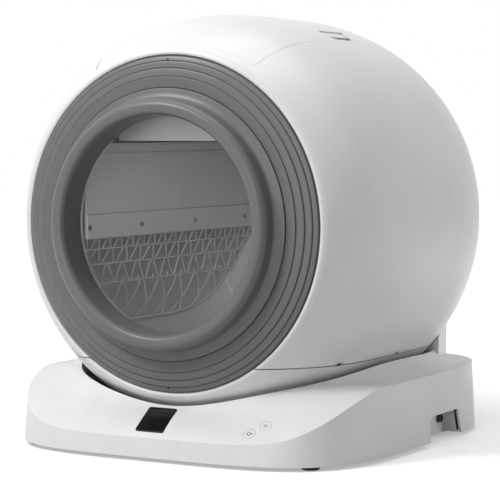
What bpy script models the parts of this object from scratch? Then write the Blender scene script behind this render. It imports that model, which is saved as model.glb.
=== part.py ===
"""Self cleaning litter box: a fixed globe on a low base, with a sifting drum turning inside it.

World frame: origin on the floor under the middle of the base, +Z up, the entry faces -Y.
Depths are measured backwards from the collar's outer edge, rises upwards from the drum's axis.
"""

import math

import bmesh
import bpy
from mathutils import Matrix, Vector
from mathutils.geometry import delaunay_2d_cdt

MM = 0.001

# Driving sizes of the whole object
GLOBE_RADIUS = 255.8 * MM
GLOBE_LIFT = 21.2 * MM
GLOBE_SWELL = 48.8 * MM
GLOBE_WAIST_DEPTH = 244.0 * MM
GLOBE_TAIL = 243.0 * MM
TAIL_CUT = 22.0 * MM
BACK_DEPTH = GLOBE_WAIST_DEPTH + GLOBE_TAIL - TAIL_CUT
GLOBE_MOUTH_RADIUS = GLOBE_RADIUS - GLOBE_SWELL
AXIS_HEIGHT = GLOBE_RADIUS + GLOBE_LIFT
GLOBE_FRONT_POWER = 4.5
GLOBE_REAR_POWER = 2.86
SHELL_WALL = 3.0 * MM

# Clearances and allowances
SEAT_GAP = 0.3 * MM
SEAM_GAP = 0.6 * MM
OVERRUN = 20.0 * MM
WELD = 0.01 * MM

# Round pieces: steps in a full turn
GLOBE_STEPS = 48
DRUM_STEPS = 40
SMALL_STEPS = 20

# Base
BASE_SIDE_TUCK = 11.2 * MM
BASE_FRONT_REACH = 49.9 * MM
BASE_REAR_REACH = 3.9 * MM
BASE_HALF_WIDTH = GLOBE_RADIUS - BASE_SIDE_TUCK
BASE_HALF_DEPTH = (BASE_FRONT_REACH + BACK_DEPTH + BASE_REAR_REACH) / 2
COLLAR_SETBACK = BASE_HALF_DEPTH - BASE_FRONT_REACH
BASE_POWER = 4.0
BASE_STEPS = 64
BASE_WALL = 3.0 * MM
SKIRT_DRAFT = 3.5 * MM
SKIRT_FOOT = 5.0 * MM
SHOULDER_HEIGHT = 88.0 * MM
FASCIA_HEIGHT = 26.0 * MM
FASCIA_REACH = 149.9 * MM
FASCIA_FALL = 1.1
FASCIA_FALL_POWER = 1.85
FASCIA_SOFTNESS = 10
SHOULDER_POWER = 2.2
CREASE_BEARING = math.radians(28)
EDGE_ROUND = 2.0 * MM
RIM_SIDE_MARGIN = 44.6 * MM
RIM_HALF_WIDTH = BASE_HALF_WIDTH - RIM_SIDE_MARGIN
RIM_END_MARGIN = 37.4 * MM
RIM_HALF_DEPTH = BASE_HALF_DEPTH - RIM_END_MARGIN
RIM_SETBACK = 14.5 * MM
RIM_POWER = 2.95
RIM_GAP = 7.7 * MM
RIM_LIP_DEPTH = 16.0 * MM
RIM_CREST = 18.0 * MM
TOP_SHARES = (0, 0.3, 0.6, 0.8, 1)
RIM_LIP_INSET = 2.0 * MM
RIM_WARP = math.radians(23)
FASCIA_BULGE = 3.0 * MM
BOTTOM_PLATE = 3.0 * MM

# Feet
FOOT_RADIUS = 11.0 * MM
FOOT_SIDE_MARGIN = 55.1 * MM
FOOT_X = BASE_HALF_WIDTH - FOOT_SIDE_MARGIN
FOOT_END_MARGIN = 50.4 * MM
FOOT_Y = BASE_HALF_DEPTH - FOOT_END_MARGIN
FOOT_ROUND = 1.5 * MM

# Fixed globe
FACE_DEPTH = 4.0 * MM
REAR_COVER_LENGTH = 75.0 * MM
COVER_REAR_DEPTH = BACK_DEPTH - REAR_COVER_LENGTH
SEAM_RISE = 90.8 * MM
SEAM_DROP = GLOBE_RADIUS - SEAM_RISE
FRONT_EDGE_WIDTH = 3.4 * MM
FRONT_EDGE_ROUND = 0.8 * MM
BACK_ROUND = 6.0 * MM
NOTCH_DEPTHS = (83.0 * MM, 216.0 * MM)
NOTCH_WIDTH = 9.0 * MM
NOTCH_RISE = 4.0 * MM

# Top lid and its latch
LID_HALF_ANGLE = math.radians(30.4)
LID_FRONT_DEPTH = 10.0 * MM
LID_REAR_MARGIN = 18.0 * MM
LID_REAR_DEPTH = COVER_REAR_DEPTH - LID_REAR_MARGIN
HINGE_FRONT_DEPTH = 150.0 * MM
HINGE_REAR_MARGIN = 72.0 * MM
HINGE_REAR_DEPTH = LID_REAR_DEPTH - HINGE_REAR_MARGIN
HINGE_PIN_RADIUS = 1.0 * MM
HINGE_RELIEF = 1.6 * MM
LATCH_ANGLE = math.radians(26.2)
LATCH_DEPTH = 220.0 * MM
LATCH_LENGTH = 58.0 * MM
LATCH_WIDTH = 26.0 * MM
LATCH_CUP_DEPTH = 11.0 * MM
LATCH_CUP_WALL = 1.6 * MM
LATCH_PADDLE_WIDTH = 10.0 * MM
LATCH_PADDLE_THICKNESS = 3.0 * MM
LATCH_PADDLE_SINK = 6.0 * MM
LATCH_TRAVEL = 4.0 * MM

# Collar: how far each step lies inside and stands forward of the collar's outer edge
COLLAR_INSET = 7.0 * MM
COLLAR_RADIUS = GLOBE_MOUTH_RADIUS - COLLAR_INSET
STEP_INSETS = (6.3 * MM, 14.8 * MM, 24.6 * MM, 38.1 * MM)
STEP_RADII = tuple(COLLAR_RADIUS - inset for inset in STEP_INSETS)
STEP_FRONTS = (4.7 * MM, 7.6 * MM, 11.0 * MM, 11.1 * MM)
STEP_HEIGHT = 2.6 * MM
COLLAR_EDGE = 1.4 * MM
COLLAR_WALL = 3.0 * MM
COLLAR_POCKET_FRONT = 1.5 * MM

# Entry lip
COLLAR_BREADTH = 71.8 * MM
ENTRY_RADIUS = COLLAR_RADIUS - COLLAR_BREADTH
LIP_INNER_STEP = 1.7 * MM
LIP_INNER_RADIUS = ENTRY_RADIUS + LIP_INNER_STEP
LIP_INNER_FRONT = 31.3 * MM
LIP_CREST_STEP = 10.3 * MM
LIP_CREST_RADIUS = ENTRY_RADIUS + LIP_CREST_STEP
LIP_CREST_FRONT = 37.5 * MM
LIP_OUTER_STEP = 20.3 * MM
LIP_OUTER_RADIUS = ENTRY_RADIUS + LIP_OUTER_STEP
LIP_ROOT_STEP = 25.3 * MM
LIP_ROOT_RADIUS = ENTRY_RADIUS + LIP_ROOT_STEP
LIP_WALL = 3.0 * MM
TUNNEL_END_DEPTH = 2.0 * MM
FACE_HOLE_STEP = 12.8 * MM
FACE_HOLE_RADIUS = ENTRY_RADIUS + FACE_HOLE_STEP

# Drum
DRUM_GAP = 36.0 * MM
DRUM_WALL = 3.0 * MM
DRUM_FRONT_DEPTH = 8.5 * MM
MOUTH_STEP = 3.3 * MM
MOUTH_RADIUS = ENTRY_RADIUS + MOUTH_STEP
MOUTH_WALL = 4.5 * MM
MOUTH_FRONT_DEPTH = 2.6 * MM
TRACK_WIDTH = 22.0 * MM
FRONT_TRACK_DEPTH = 30.0 * MM
FRONT_TRACK_INSET = 65.8 * MM
FRONT_TRACK_RADIUS = GLOBE_RADIUS - FRONT_TRACK_INSET
REAR_TRACK_MARGIN = 99.0 * MM
REAR_TRACK_DEPTH = BACK_DEPTH - REAR_TRACK_MARGIN
REAR_TRACK_INSET = 45.8 * MM
REAR_TRACK_RADIUS = GLOBE_RADIUS - REAR_TRACK_INSET
GEAR_SEAT_MARGIN = 61.0 * MM
GEAR_SEAT_DEPTH = BACK_DEPTH - GEAR_SEAT_MARGIN
GEAR_SEAT_INSET = 69.8 * MM
GEAR_SEAT_RADIUS = GLOBE_RADIUS - GEAR_SEAT_INSET
GEAR_SEAT_LENGTH = 17.0 * MM
GEAR_SEAT_END = GEAR_SEAT_DEPTH + GEAR_SEAT_LENGTH
DRUM_REAR_MARGIN = 13.0 * MM
DRUM_REAR_DEPTH = BACK_DEPTH - DRUM_REAR_MARGIN

# Gears
GEAR_MODULE = 4.0 * MM
GEAR_RIM = 14.0 * MM
RING_TEETH = round(2 * (GEAR_SEAT_RADIUS + GEAR_RIM) / GEAR_MODULE)
PINION_TEETH = 15
GEAR_SETBACK = 4.0 * MM
GEAR_DEPTH = GEAR_SEAT_DEPTH + GEAR_SETBACK
GEAR_WIDTH = 12.0 * MM
GEAR_BACKLASH = 0.7 * MM
ROOT_CLEARANCE = 1.2 * MM
SHAFT_RADIUS = 4.0 * MM

# Waste bin, in the top of the drum
BIN_SIDE_MARGIN = 27.4 * MM
BIN_HALF_WIDTH = GLOBE_RADIUS * math.sin(LID_HALF_ANGLE) - BIN_SIDE_MARGIN
BIN_FLOOR_INSET = 156.8 * MM
BIN_FLOOR_RISE = GLOBE_RADIUS - BIN_FLOOR_INSET
BIN_FRONT_DEPTH = 48.0 * MM
BIN_REAR_MARGIN = 121.0 * MM
BIN_REAR_DEPTH = BACK_DEPTH - BIN_REAR_MARGIN
BIN_WALL = 2.5 * MM
BIN_WINDOW_GAP = 2.0 * MM
BIN_FLANGE_REACH = 6.0 * MM
BIN_FLANGE = 2.5 * MM
BIN_HANDLE_DROP = 81.8 * MM
BIN_HANDLE_RADIUS = 4.0 * MM

# Sifting wall on the drum's left side
WALL_STEP = 1.0 * MM
WALL_X = MOUTH_RADIUS - WALL_STEP
PANEL_THICKNESS = 2.5 * MM
STRIP_PROUD = 2.0 * MM
STRIP_TOP_RISE = 8.0 * MM
STRIP_BOTTOM_DROP = 21.0 * MM
PANEL_TOP_STEP = 3.0 * MM
PANEL_TOP_RISE = BIN_FLOOR_RISE - PANEL_TOP_STEP
PANEL_LEDGE_STEP = 15.0 * MM
PANEL_LEDGE_RISE = BIN_FLOOR_RISE - PANEL_LEDGE_STEP
PANEL_LEDGE_DEPTH = 1.2 * MM
SIFT_FRONT_DEPTH = 16.0 * MM
SIFT_REAR_MARGIN = 19.0 * MM
SIFT_REAR_DEPTH = BACK_DEPTH - SIFT_REAR_MARGIN
SCREEN_SPREAD = 34.5 * MM
SCREEN_FOOT_X = WALL_X + SCREEN_SPREAD
SCREEN_FOOT_INSET = 117.8 * MM
SCREEN_FOOT_DROP = GLOBE_RADIUS - SCREEN_FOOT_INSET
SCREEN_POWER = 0.6
SCREEN_EDGE_GAP = 2.4 * MM
SCREEN_BAR_SHARES = (0.128, 0.299, 0.517, 0.761)
SCREEN_PITCHES = (26.1 * MM, 31.5 * MM, 35.6 * MM, 44.6 * MM, 47.0 * MM)
SCREEN_BAR = 3.0 * MM
SCREEN_STRUT = 2.2 * MM
SCREEN_THICKNESS = 2.4 * MM
SCREEN_EDGE_STEPS = 12
STRIP_SCREW_FRONT_MARGIN = 3.5 * MM
STRIP_SCREW_SECOND = 122.1 * MM
STRIP_SCREW_REAR_MARGIN = 40.9 * MM
STRIP_SCREW_RISE = -8.0 * MM
SCREW_HEAD_RADIUS = 3.2 * MM
SCREW_HEAD_HEIGHT = 1.4 * MM

# Drum rollers
ROLLER_RADIUS = 10.0 * MM
ROLLER_WIDTH = 12.0 * MM
ROLLER_BORE = 2.6 * MM
AXLE_RADIUS = 2.5 * MM
FRONT_ROLLER_ANGLE = math.radians(30)
REAR_ROLLER_ANGLE = math.radians(36)
BRACKET_CHEEK = 3.0 * MM
BRACKET_HALF_WIDTH = 9.0 * MM
BRACKET_SIDE_GAP = 0.5 * MM
BRACKET_POCKET_GAP = 1.2 * MM

# Rear housing
HOUSING_REAR_MARGIN = 18.9 * MM
HOUSING_REAR_DEPTH = COLLAR_SETBACK + BASE_HALF_DEPTH - HOUSING_REAR_MARGIN
HOUSING_LENGTH = 90.0 * MM
HOUSING_FRONT_DEPTH = HOUSING_REAR_DEPTH - HOUSING_LENGTH
HOUSING_FRONT_MARGIN = 54.6 * MM
HOUSING_FRONT_HALF_WIDTH = BASE_HALF_WIDTH - HOUSING_FRONT_MARGIN
HOUSING_SIDE_MARGIN = 79.6 * MM
HOUSING_REAR_HALF_WIDTH = BASE_HALF_WIDTH - HOUSING_SIDE_MARGIN
HOUSING_TOP_DROP = 60.0 * MM
HOUSING_ROUND = 24.0 * MM
HOUSING_ROUND_STEPS = 5
HOUSING_WALL = 3.0 * MM
HOUSING_SLOT_GAP = 0.5 * MM

# Drive motor
MOTOR_RADIUS = 19.0 * MM
MOTOR_SETBACK = 28.0 * MM
MOTOR_DEPTH = GEAR_SEAT_DEPTH + MOTOR_SETBACK
MOTOR_LENGTH = 14.0 * MM
CRADLE_HALF_WIDTH = 25.0 * MM
CRADLE_LENGTH = 12.0 * MM

# Front panel
DISPLAY_WIDTH = 38.5 * MM
DISPLAY_HEIGHT = 41.0 * MM
DISPLAY_THICKNESS = 2.0 * MM
DISPLAY_ROUND = 3.0 * MM
DISPLAY_BEARING = math.radians(-91.5)
DISPLAY_SHARE = 0.47
DISPLAY_SINK = 1.6 * MM
KEY_RADIUS = 7.0 * MM
KEY_THICKNESS = 1.6 * MM
KEY_SINK = 1.4 * MM
KEY_BEARINGS = (math.radians(-59.1), math.radians(-53.3))
KEY_SHARES = (0.21, 0.3)
BOARD_WIDTH = 150.0 * MM
BOARD_DEPTH = 40.0 * MM
BOARD_THICKNESS = 1.6 * MM
BOARD_LIFT = 6.0 * MM
BOARD_SETBACK = 200.0 * MM
BOARD_LEG = 5.0 * MM

# Power inlet in its notch, on the right side
NOTCH_FRONT_DEPTH = 215.0 * MM
NOTCH_REAR_DEPTH = 315.0 * MM
NOTCH_HEIGHT = 36.7 * MM
NOTCH_SLANT = 13.3 * MM
NOTCH_ROUND = 11.0 * MM
NOTCH_ROUND_STEPS = 3
NOTCH_INSET = 19.0 * MM
NOTCH_PLATE = 2.0 * MM
JACK_DEPTH = 288.0 * MM
JACK_HEIGHT = 25.0 * MM
JACK_RADIUS = 5.5 * MM
JACK_BORE = 3.0 * MM
JACK_LENGTH = 14.0 * MM

# Posts that carry the fixed globe
POST_RADIUS = 9.0 * MM
POST_X = 90.0 * MM
POST_FRONT_DEPTH = 110.0 * MM
POST_REAR_MARGIN = 145.0 * MM
POST_REAR_DEPTH = BACK_DEPTH - POST_REAR_MARGIN


def clear_scene():
    """Removes what the file opened with."""
    for item in list(bpy.data.objects):
        bpy.data.objects.remove(item, do_unlink=True)


def collection(name):
    made = bpy.data.collections.new(name)
    bpy.context.scene.collection.children.link(made)
    return made


clear_scene()
PARTS = collection("self_cleaning_litter_box")
CUTTERS = collection("cutters")


def finish(name, colour, roughness, metallic=0.0):
    """A plain Principled material."""
    made = bpy.data.materials.new(name)
    made.use_nodes = True
    shader = made.node_tree.nodes["Principled BSDF"]
    shader.inputs["Base Color"].default_value = (*colour, 1.0)
    shader.inputs["Roughness"].default_value = roughness
    shader.inputs["Metallic"].default_value = metallic
    return made


WHITE = (0.86, 0.86, 0.86)
GREY = (0.17, 0.17, 0.175)
PALE_GREY = (0.3, 0.3, 0.3)
STEEL = (0.6, 0.6, 0.62)
DARK = (0.02, 0.02, 0.02)
GREEN = (0.02, 0.12, 0.05)


def world(x, depth, rise):
    """The world point at a depth behind the collar's edge and a rise above the drum's axis."""
    return Vector((x, depth - COLLAR_SETBACK, AXIS_HEIGHT + rise))


def link(made, surface=None, cutter=False):
    """Puts an object in its collection, with its own material."""
    (CUTTERS if cutter else PARTS).objects.link(made)
    if cutter:
        made.hide_render = True
        made.display_type = "WIRE"
    elif surface:
        made.data.materials.append(finish(made.name, *surface))
    return made


def from_bmesh(name, shape, surface=None, cutter=False):
    data = bpy.data.meshes.new(name)
    shape.to_mesh(data)
    shape.free()
    return link(bpy.data.objects.new(name, data), surface, cutter)


def smooth(made):
    """Smooth shading with sharp edges kept, for round pieces."""
    made.data.shade_smooth()
    made.data.set_sharp_from_angle(angle=math.radians(35))
    return made


def cut(made, cutter, operation="DIFFERENCE"):
    step = made.modifiers.new(cutter.name, "BOOLEAN")
    step.operation = operation
    step.solver = "EXACT"
    step.object = cutter
    return made


def box(name, low, high, surface=None, cutter=False):
    """A box between two world corners, with its origin in its middle."""
    shape = bmesh.new()
    bmesh.ops.create_cube(shape, size=1)
    size = [h - l for l, h in zip(low, high)]
    bmesh.ops.scale(shape, vec=size, verts=shape.verts)
    made = from_bmesh(name, shape, surface, cutter)
    made.location = [(l + h) / 2 for l, h in zip(low, high)]
    return made


def block(name, frame, size, surface=None, cutter=False):
    """A box of a given size, centred in a frame."""
    shape = bmesh.new()
    bmesh.ops.create_cube(shape, size=1)
    bmesh.ops.scale(shape, vec=size, verts=shape.verts)
    made = from_bmesh(name, shape, surface, cutter)
    made.matrix_world = frame
    return made


def cylinder(name, frame, radius, length, surface=None, cutter=False, steps=SMALL_STEPS):
    """A cylinder along its frame's Z axis, centred on the frame."""
    shape = bmesh.new()
    bmesh.ops.create_cone(
        shape, cap_ends=True, segments=steps, radius1=radius, radius2=radius, depth=length
    )
    made = from_bmesh(name, shape, surface, cutter)
    made.matrix_world = frame
    return smooth(made)


def turned(name, outline, steps, surface=None, cutter=False, closed=True):
    """An outline of (radius, depth) points turned about the drum's axis.

    Its outer side runs from front to rear, which is top to bottom before the axis is laid level.
    """
    data = bpy.data.meshes.new(name)
    points = [(radius, 0, -depth) for radius, depth in outline]
    count = len(points)
    edges = [(i, (i + 1) % count) for i in range(count if closed else count - 1)]
    data.from_pydata(points, edges, [])
    made = link(bpy.data.objects.new(name, data), surface, cutter)
    turn = made.modifiers.new("turn", "SCREW")
    turn.axis = "Z"
    turn.angle = math.tau
    turn.steps = steps
    turn.render_steps = steps
    turn.use_merge_vertices = True
    turn.merge_threshold = WELD
    turn.use_smooth_shade = True
    made.matrix_world = Matrix.Translation(world(0, 0, 0)) @ Matrix.Rotation(math.radians(90), 4, "X")
    return made


def prism(name, outline, low, high, surface=None, cutter=False):
    """A flat outline of (x, y) world points, extruded between two heights."""
    curve = bpy.data.curves.new(name, "CURVE")
    curve.dimensions = "2D"
    curve.fill_mode = "BOTH"
    curve.extrude = (high - low) / 2
    curve.resolution_u = 1
    spline = curve.splines.new("POLY")
    spline.points.add(len(outline) - 1)
    for point, (x, y) in zip(spline.points, outline):
        point.co = (x, y, 0, 1)
    spline.use_cyclic_u = True
    return from_curve(name, curve, Matrix.Translation((0, 0, (low + high) / 2)), surface, cutter)


def from_curve(name, curve, frame, surface=None, cutter=False):
    """A curve made a closed mesh, so that it can be cut and can cut."""
    source = bpy.data.objects.new(name + "_curve", curve)
    CUTTERS.objects.link(source)
    source.matrix_world = frame
    bpy.context.view_layer.update()
    graph = bpy.context.evaluated_depsgraph_get()
    data = bpy.data.meshes.new_from_object(source.evaluated_get(graph))
    shape = bmesh.new()
    shape.from_mesh(data)
    bmesh.ops.remove_doubles(shape, verts=shape.verts, dist=WELD)
    shape.to_mesh(data)
    shape.free()
    bpy.data.objects.remove(source, do_unlink=True)
    data.name = name
    made = link(bpy.data.objects.new(name, data), surface, cutter)
    made.matrix_world = frame
    return made


def axis_empty(name, point):
    """An empty on a joint's axis, which carries the pieces that move with it."""
    made = bpy.data.objects.new(name, None)
    PARTS.objects.link(made)
    made.location = point
    return made


def carry(parent, *pieces):
    """Hangs pieces on an empty where they stand."""
    for piece in pieces:
        piece.parent = parent
        piece.matrix_parent_inverse = Matrix.Translation(-parent.location)


def globe_radius(depth):
    """The globe's outer radius: a quick swell behind its mouth, then a rounded tail."""
    if depth < GLOBE_WAIST_DEPTH:
        share = 1 - depth / GLOBE_WAIST_DEPTH
        return GLOBE_RADIUS - (GLOBE_RADIUS - GLOBE_MOUTH_RADIUS) * share**GLOBE_FRONT_POWER
    share = min(1.0, (depth - GLOBE_WAIST_DEPTH) / GLOBE_TAIL)
    return GLOBE_RADIUS * (1 - share**GLOBE_REAR_POWER) ** (1 / GLOBE_REAR_POWER)


def depths_between(start, stop, count, power=1.0):
    """Depths from start to stop, closer together near the start where the power is over 1."""
    return [start + (stop - start) * (i / count) ** power for i in range(count + 1)]


def globe_depths(start, stop, inset=0):
    """Where the globe's curve has its points: close behind the mouth, and close at the tail."""
    front = depths_between(start, GLOBE_WAIST_DEPTH, 7, 1.7)
    rear = depths_between(stop, GLOBE_WAIST_DEPTH, 4, 1.3)[::-1]
    return front + rear[1:]


def globe_solid(name, offset, steps=GLOBE_STEPS):
    """The whole globe as a cutter, with its surface moved outwards by an offset."""
    depths = globe_depths(FACE_DEPTH, COVER_REAR_DEPTH)[:-1] + tail_depths()
    outline = [(0, -OVERRUN)]
    outline.append((globe_radius(0) + offset, -OVERRUN))
    outline += [(globe_radius(depth) + offset, depth) for depth in depths]
    outline.append((globe_radius(BACK_DEPTH) + offset, BACK_DEPTH + offset))
    outline.append((0, BACK_DEPTH + offset))
    return turned(name, outline, steps, cutter=True, closed=False)


def tail_depths():
    return depths_between(BACK_DEPTH - BACK_ROUND, COVER_REAR_DEPTH + SEAM_GAP, 4, 1.3)[::-1]


def shell_room(name):
    """The space inside the fixed globe's wall as a cutter, a seat's gap smaller."""
    front = FACE_DEPTH + SHELL_WALL
    outline = [(0, front + SEAT_GAP)]
    for depth in globe_depths(front, COVER_REAR_DEPTH):
        outline.append((globe_radius(depth) - SHELL_WALL - SEAT_GAP, max(depth, front + SEAT_GAP)))
    outline.append((0, COVER_REAR_DEPTH))
    return turned(name, outline, GLOBE_STEPS, cutter=True, closed=False)


def shell_outline():
    """The fixed globe's wall in front of the rear cover, with the flat face behind the collar."""
    outer = [(globe_radius(depth), depth) for depth in globe_depths(FACE_DEPTH, COVER_REAR_DEPTH)]
    inner_front = FACE_DEPTH + SHELL_WALL
    inner = [
        (globe_radius(depth) - SHELL_WALL, depth)
        for depth in globe_depths(inner_front, COVER_REAR_DEPTH)
    ]
    edge = GLOBE_MOUTH_RADIUS - FRONT_EDGE_WIDTH
    face = [(FACE_HOLE_RADIUS, FACE_DEPTH), (edge, FACE_DEPTH), (edge, FRONT_EDGE_ROUND)]
    face += [(edge + FRONT_EDGE_ROUND, 0), (GLOBE_MOUTH_RADIUS - FRONT_EDGE_ROUND, 0)]
    face.append((globe_radius(FRONT_EDGE_ROUND), FRONT_EDGE_ROUND))
    face_back = [(FACE_HOLE_RADIUS, inner_front)]
    return face + outer + inner[::-1] + face_back


def wedge(name, left_angle, right_angle, front, rear):
    """A cutter that fans out from the drum's axis between two angles from straight up."""
    reach = GLOBE_RADIUS + 2 * OVERRUN
    corners = [(0, 0)]
    for share in (0, 0.5, 1):
        angle = left_angle + (right_angle - left_angle) * share
        corners.append((reach * math.sin(angle), reach * math.cos(angle)))
    shape = bmesh.new()
    ends = []
    for depth in (front, rear):
        ends.append([shape.verts.new(world(x, depth, rise)) for x, rise in corners])
    shape.faces.new(ends[0])
    shape.faces.new(ends[1][::-1])
    count = len(corners)
    for i in range(count):
        j = (i + 1) % count
        shape.faces.new((ends[0][j], ends[0][i], ends[1][i], ends[1][j]))
    bmesh.ops.recalc_face_normals(shape, faces=shape.faces)
    return from_bmesh(name, shape, cutter=True)


def radial_frame(angle, radius, depth):
    """A frame on the drum's flank: X along the tangent, Y backwards, Z outwards from the axis."""
    outward = Vector((math.sin(angle), 0, math.cos(angle)))
    tangent = Vector((math.cos(angle), 0, -math.sin(angle)))
    back = Vector((0, 1, 0))
    frame = Matrix((tangent, back, outward)).transposed().to_4x4()
    frame.translation = world(radius * math.sin(angle), depth, radius * math.cos(angle))
    return frame


def lid_pivot():
    """The hinge line: mid-wall, just beyond the lid's left edge."""
    radius = GLOBE_RADIUS - SHELL_WALL / 2
    angle = -LID_HALF_ANGLE - SEAT_GAP / radius
    return radius * math.sin(angle), radius * math.cos(angle)


def build_fixed_globe():
    """Upper cover, lower shell and rear cover."""
    below = box(
        "below_seam",
        world(-GLOBE_RADIUS - OVERRUN, -OVERRUN, -GLOBE_RADIUS - OVERRUN),
        world(GLOBE_RADIUS + OVERRUN, BACK_DEPTH + OVERRUN, -SEAM_DROP),
        cutter=True,
    )
    above = box(
        "above_seam",
        world(-GLOBE_RADIUS - OVERRUN, -OVERRUN, -SEAM_DROP - SEAM_GAP),
        world(GLOBE_RADIUS + OVERRUN, BACK_DEPTH + OVERRUN, GLOBE_RADIUS + OVERRUN),
        cutter=True,
    )
    wall_radius = GLOBE_RADIUS - SHELL_WALL / 2
    opening = wedge(
        "lid_opening",
        -LID_HALF_ANGLE - (SEAT_GAP + HINGE_RELIEF) / wall_radius,
        LID_HALF_ANGLE + SEAM_GAP / wall_radius,
        LID_FRONT_DEPTH - SEAM_GAP,
        LID_REAR_DEPTH + SEAM_GAP,
    )
    cover = turned("upper_cover", shell_outline(), GLOBE_STEPS, (WHITE, 0.35))
    cut(cover, below)
    cut(cover, opening)
    for number, depth in enumerate(NOTCH_DEPTHS):
        notch = box(
            f"seam_notch_{number}",
            world(-GLOBE_RADIUS - OVERRUN, depth - NOTCH_WIDTH / 2, -SEAM_DROP - OVERRUN),
            world(GLOBE_RADIUS + OVERRUN, depth + NOTCH_WIDTH / 2, -SEAM_DROP + NOTCH_RISE),
            cutter=True,
        )
        cut(cover, notch)
    lower = turned("lower_shell", shell_outline(), GLOBE_STEPS, (WHITE, 0.35))
    cut(lower, above)
    rear = turned("rear_cover", rear_outline(), GLOBE_STEPS, (WHITE, 0.35), closed=False)
    cut(rear, pinion_window("rear_cover_window"))


def rear_outline():
    """The globe's tail with a flat back, closed on the axis."""
    outer = [(globe_radius(depth), depth) for depth in tail_depths()]
    flat = outer[-1][0] - BACK_ROUND
    inner = [(radius - SHELL_WALL, depth) for radius, depth in outer]
    outline = [(0, BACK_DEPTH - SHELL_WALL), (flat - SHELL_WALL, BACK_DEPTH - SHELL_WALL)]
    outline += inner[::-1] + outer
    return outline + [(flat, BACK_DEPTH), (0, BACK_DEPTH)]


def pinion_window(name):
    """Where the drive pinion reaches up through the rear cover to the ring gear."""
    half = pitch_radius(PINION_TEETH) + 2 * GEAR_MODULE
    return box(
        name,
        world(-half, GEAR_DEPTH - SEAM_GAP - BRACKET_CHEEK, -GLOBE_RADIUS),
        world(half, GEAR_DEPTH + GEAR_WIDTH + BRACKET_CHEEK, -GEAR_SEAT_RADIUS),
        cutter=True,
    )


def build_lid():
    """The top lid, hinged on its left, with a finger pocket and a latch paddle on its right."""
    lid = turned("top_lid", shell_outline(), GLOBE_STEPS, (WHITE, 0.35))
    keep = wedge("lid_shape", -LID_HALF_ANGLE, LID_HALF_ANGLE, LID_FRONT_DEPTH, LID_REAR_DEPTH)
    cut(lid, keep, "INTERSECT")
    cup_radius = GLOBE_RADIUS - LATCH_CUP_DEPTH / 2
    mouth = radial_frame(LATCH_ANGLE, GLOBE_RADIUS, LATCH_DEPTH)
    window = block(
        "latch_window", mouth, (LATCH_WIDTH, LATCH_LENGTH, 2 * SHELL_WALL + OVERRUN), cutter=True
    )
    cut(lid, window)
    wall = 2 * LATCH_CUP_WALL
    cup = block(
        "latch_pocket",
        radial_frame(LATCH_ANGLE, cup_radius, LATCH_DEPTH),
        (LATCH_WIDTH + wall, LATCH_LENGTH + wall, LATCH_CUP_DEPTH),
        (DARK, 0.5),
    )
    cavity_radius = cup_radius + LATCH_CUP_WALL
    cavity = block(
        "latch_cavity",
        radial_frame(LATCH_ANGLE, cavity_radius, LATCH_DEPTH),
        (LATCH_WIDTH - wall, LATCH_LENGTH - wall, LATCH_CUP_DEPTH),
        cutter=True,
    )
    trim = globe_solid("latch_trim", -SHELL_WALL - SEAT_GAP)
    cut(cup, trim, "INTERSECT")
    cut(cup, cavity)
    paddle_radius = GLOBE_RADIUS - LATCH_PADDLE_SINK
    shift = LATCH_PADDLE_WIDTH / 2 + LATCH_TRAVEL - LATCH_WIDTH / 2 + LATCH_CUP_WALL + SEAT_GAP
    frame = radial_frame(LATCH_ANGLE, paddle_radius, LATCH_DEPTH)
    frame = frame @ Matrix.Translation((shift, 0, 0))
    paddle = block(
        "latch_paddle",
        frame,
        (LATCH_PADDLE_WIDTH, LATCH_LENGTH - wall - 2 * SEAT_GAP, LATCH_PADDLE_THICKNESS),
        (WHITE, 0.35),
    )
    x, rise = lid_pivot()
    middle = (HINGE_FRONT_DEPTH + HINGE_REAR_DEPTH) / 2
    hinge = axis_empty("lid_hinge_axis", world(x, middle, rise))
    pin_frame = Matrix.Translation(world(x, middle, rise)) @ Matrix.Rotation(math.radians(90), 4, "X")
    length = HINGE_REAR_DEPTH - HINGE_FRONT_DEPTH
    cylinder("lid_hinge_pin", pin_frame, HINGE_PIN_RADIUS, length, (STEEL, 0.3, 1.0))
    groove = cylinder(
        "hinge_groove", pin_frame, HINGE_PIN_RADIUS + SEAT_GAP, length + 2 * SEAM_GAP, cutter=True
    )
    cut(lid, groove)
    carry(hinge, lid, cup, paddle)


def build_collar():
    """The stepped collar and the rolled lip inside it."""
    back = FACE_DEPTH - SEAT_GAP
    outline = [(COLLAR_RADIUS - COLLAR_EDGE, -COLLAR_EDGE), (COLLAR_RADIUS, 0), (COLLAR_RADIUS, back)]
    outline += [(COLLAR_RADIUS - COLLAR_WALL, back), (COLLAR_RADIUS - COLLAR_WALL, COLLAR_POCKET_FRONT)]
    pocket_front = STEP_HEIGHT - STEP_FRONTS[1]
    inner = STEP_RADII[-1] + SEAT_GAP
    outline += [(STEP_RADII[1], pocket_front + COLLAR_WALL), (STEP_RADII[2], -COLLAR_WALL)]
    outline += [(inner + COLLAR_WALL, -COLLAR_WALL), (inner + COLLAR_WALL, back), (inner, back)]
    outline.append((inner, STEP_HEIGHT - STEP_FRONTS[-1]))
    for radius, front in list(zip(STEP_RADII, STEP_FRONTS))[-2::-1]:
        outline += [(radius, -front), (radius + WELD, STEP_HEIGHT - front)]
    turned("collar_ring", outline, GLOBE_STEPS, (GREY, 0.42))
    turned("entry_lip", lip_outline(back), GLOBE_STEPS, (GREY, 0.38))


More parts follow.
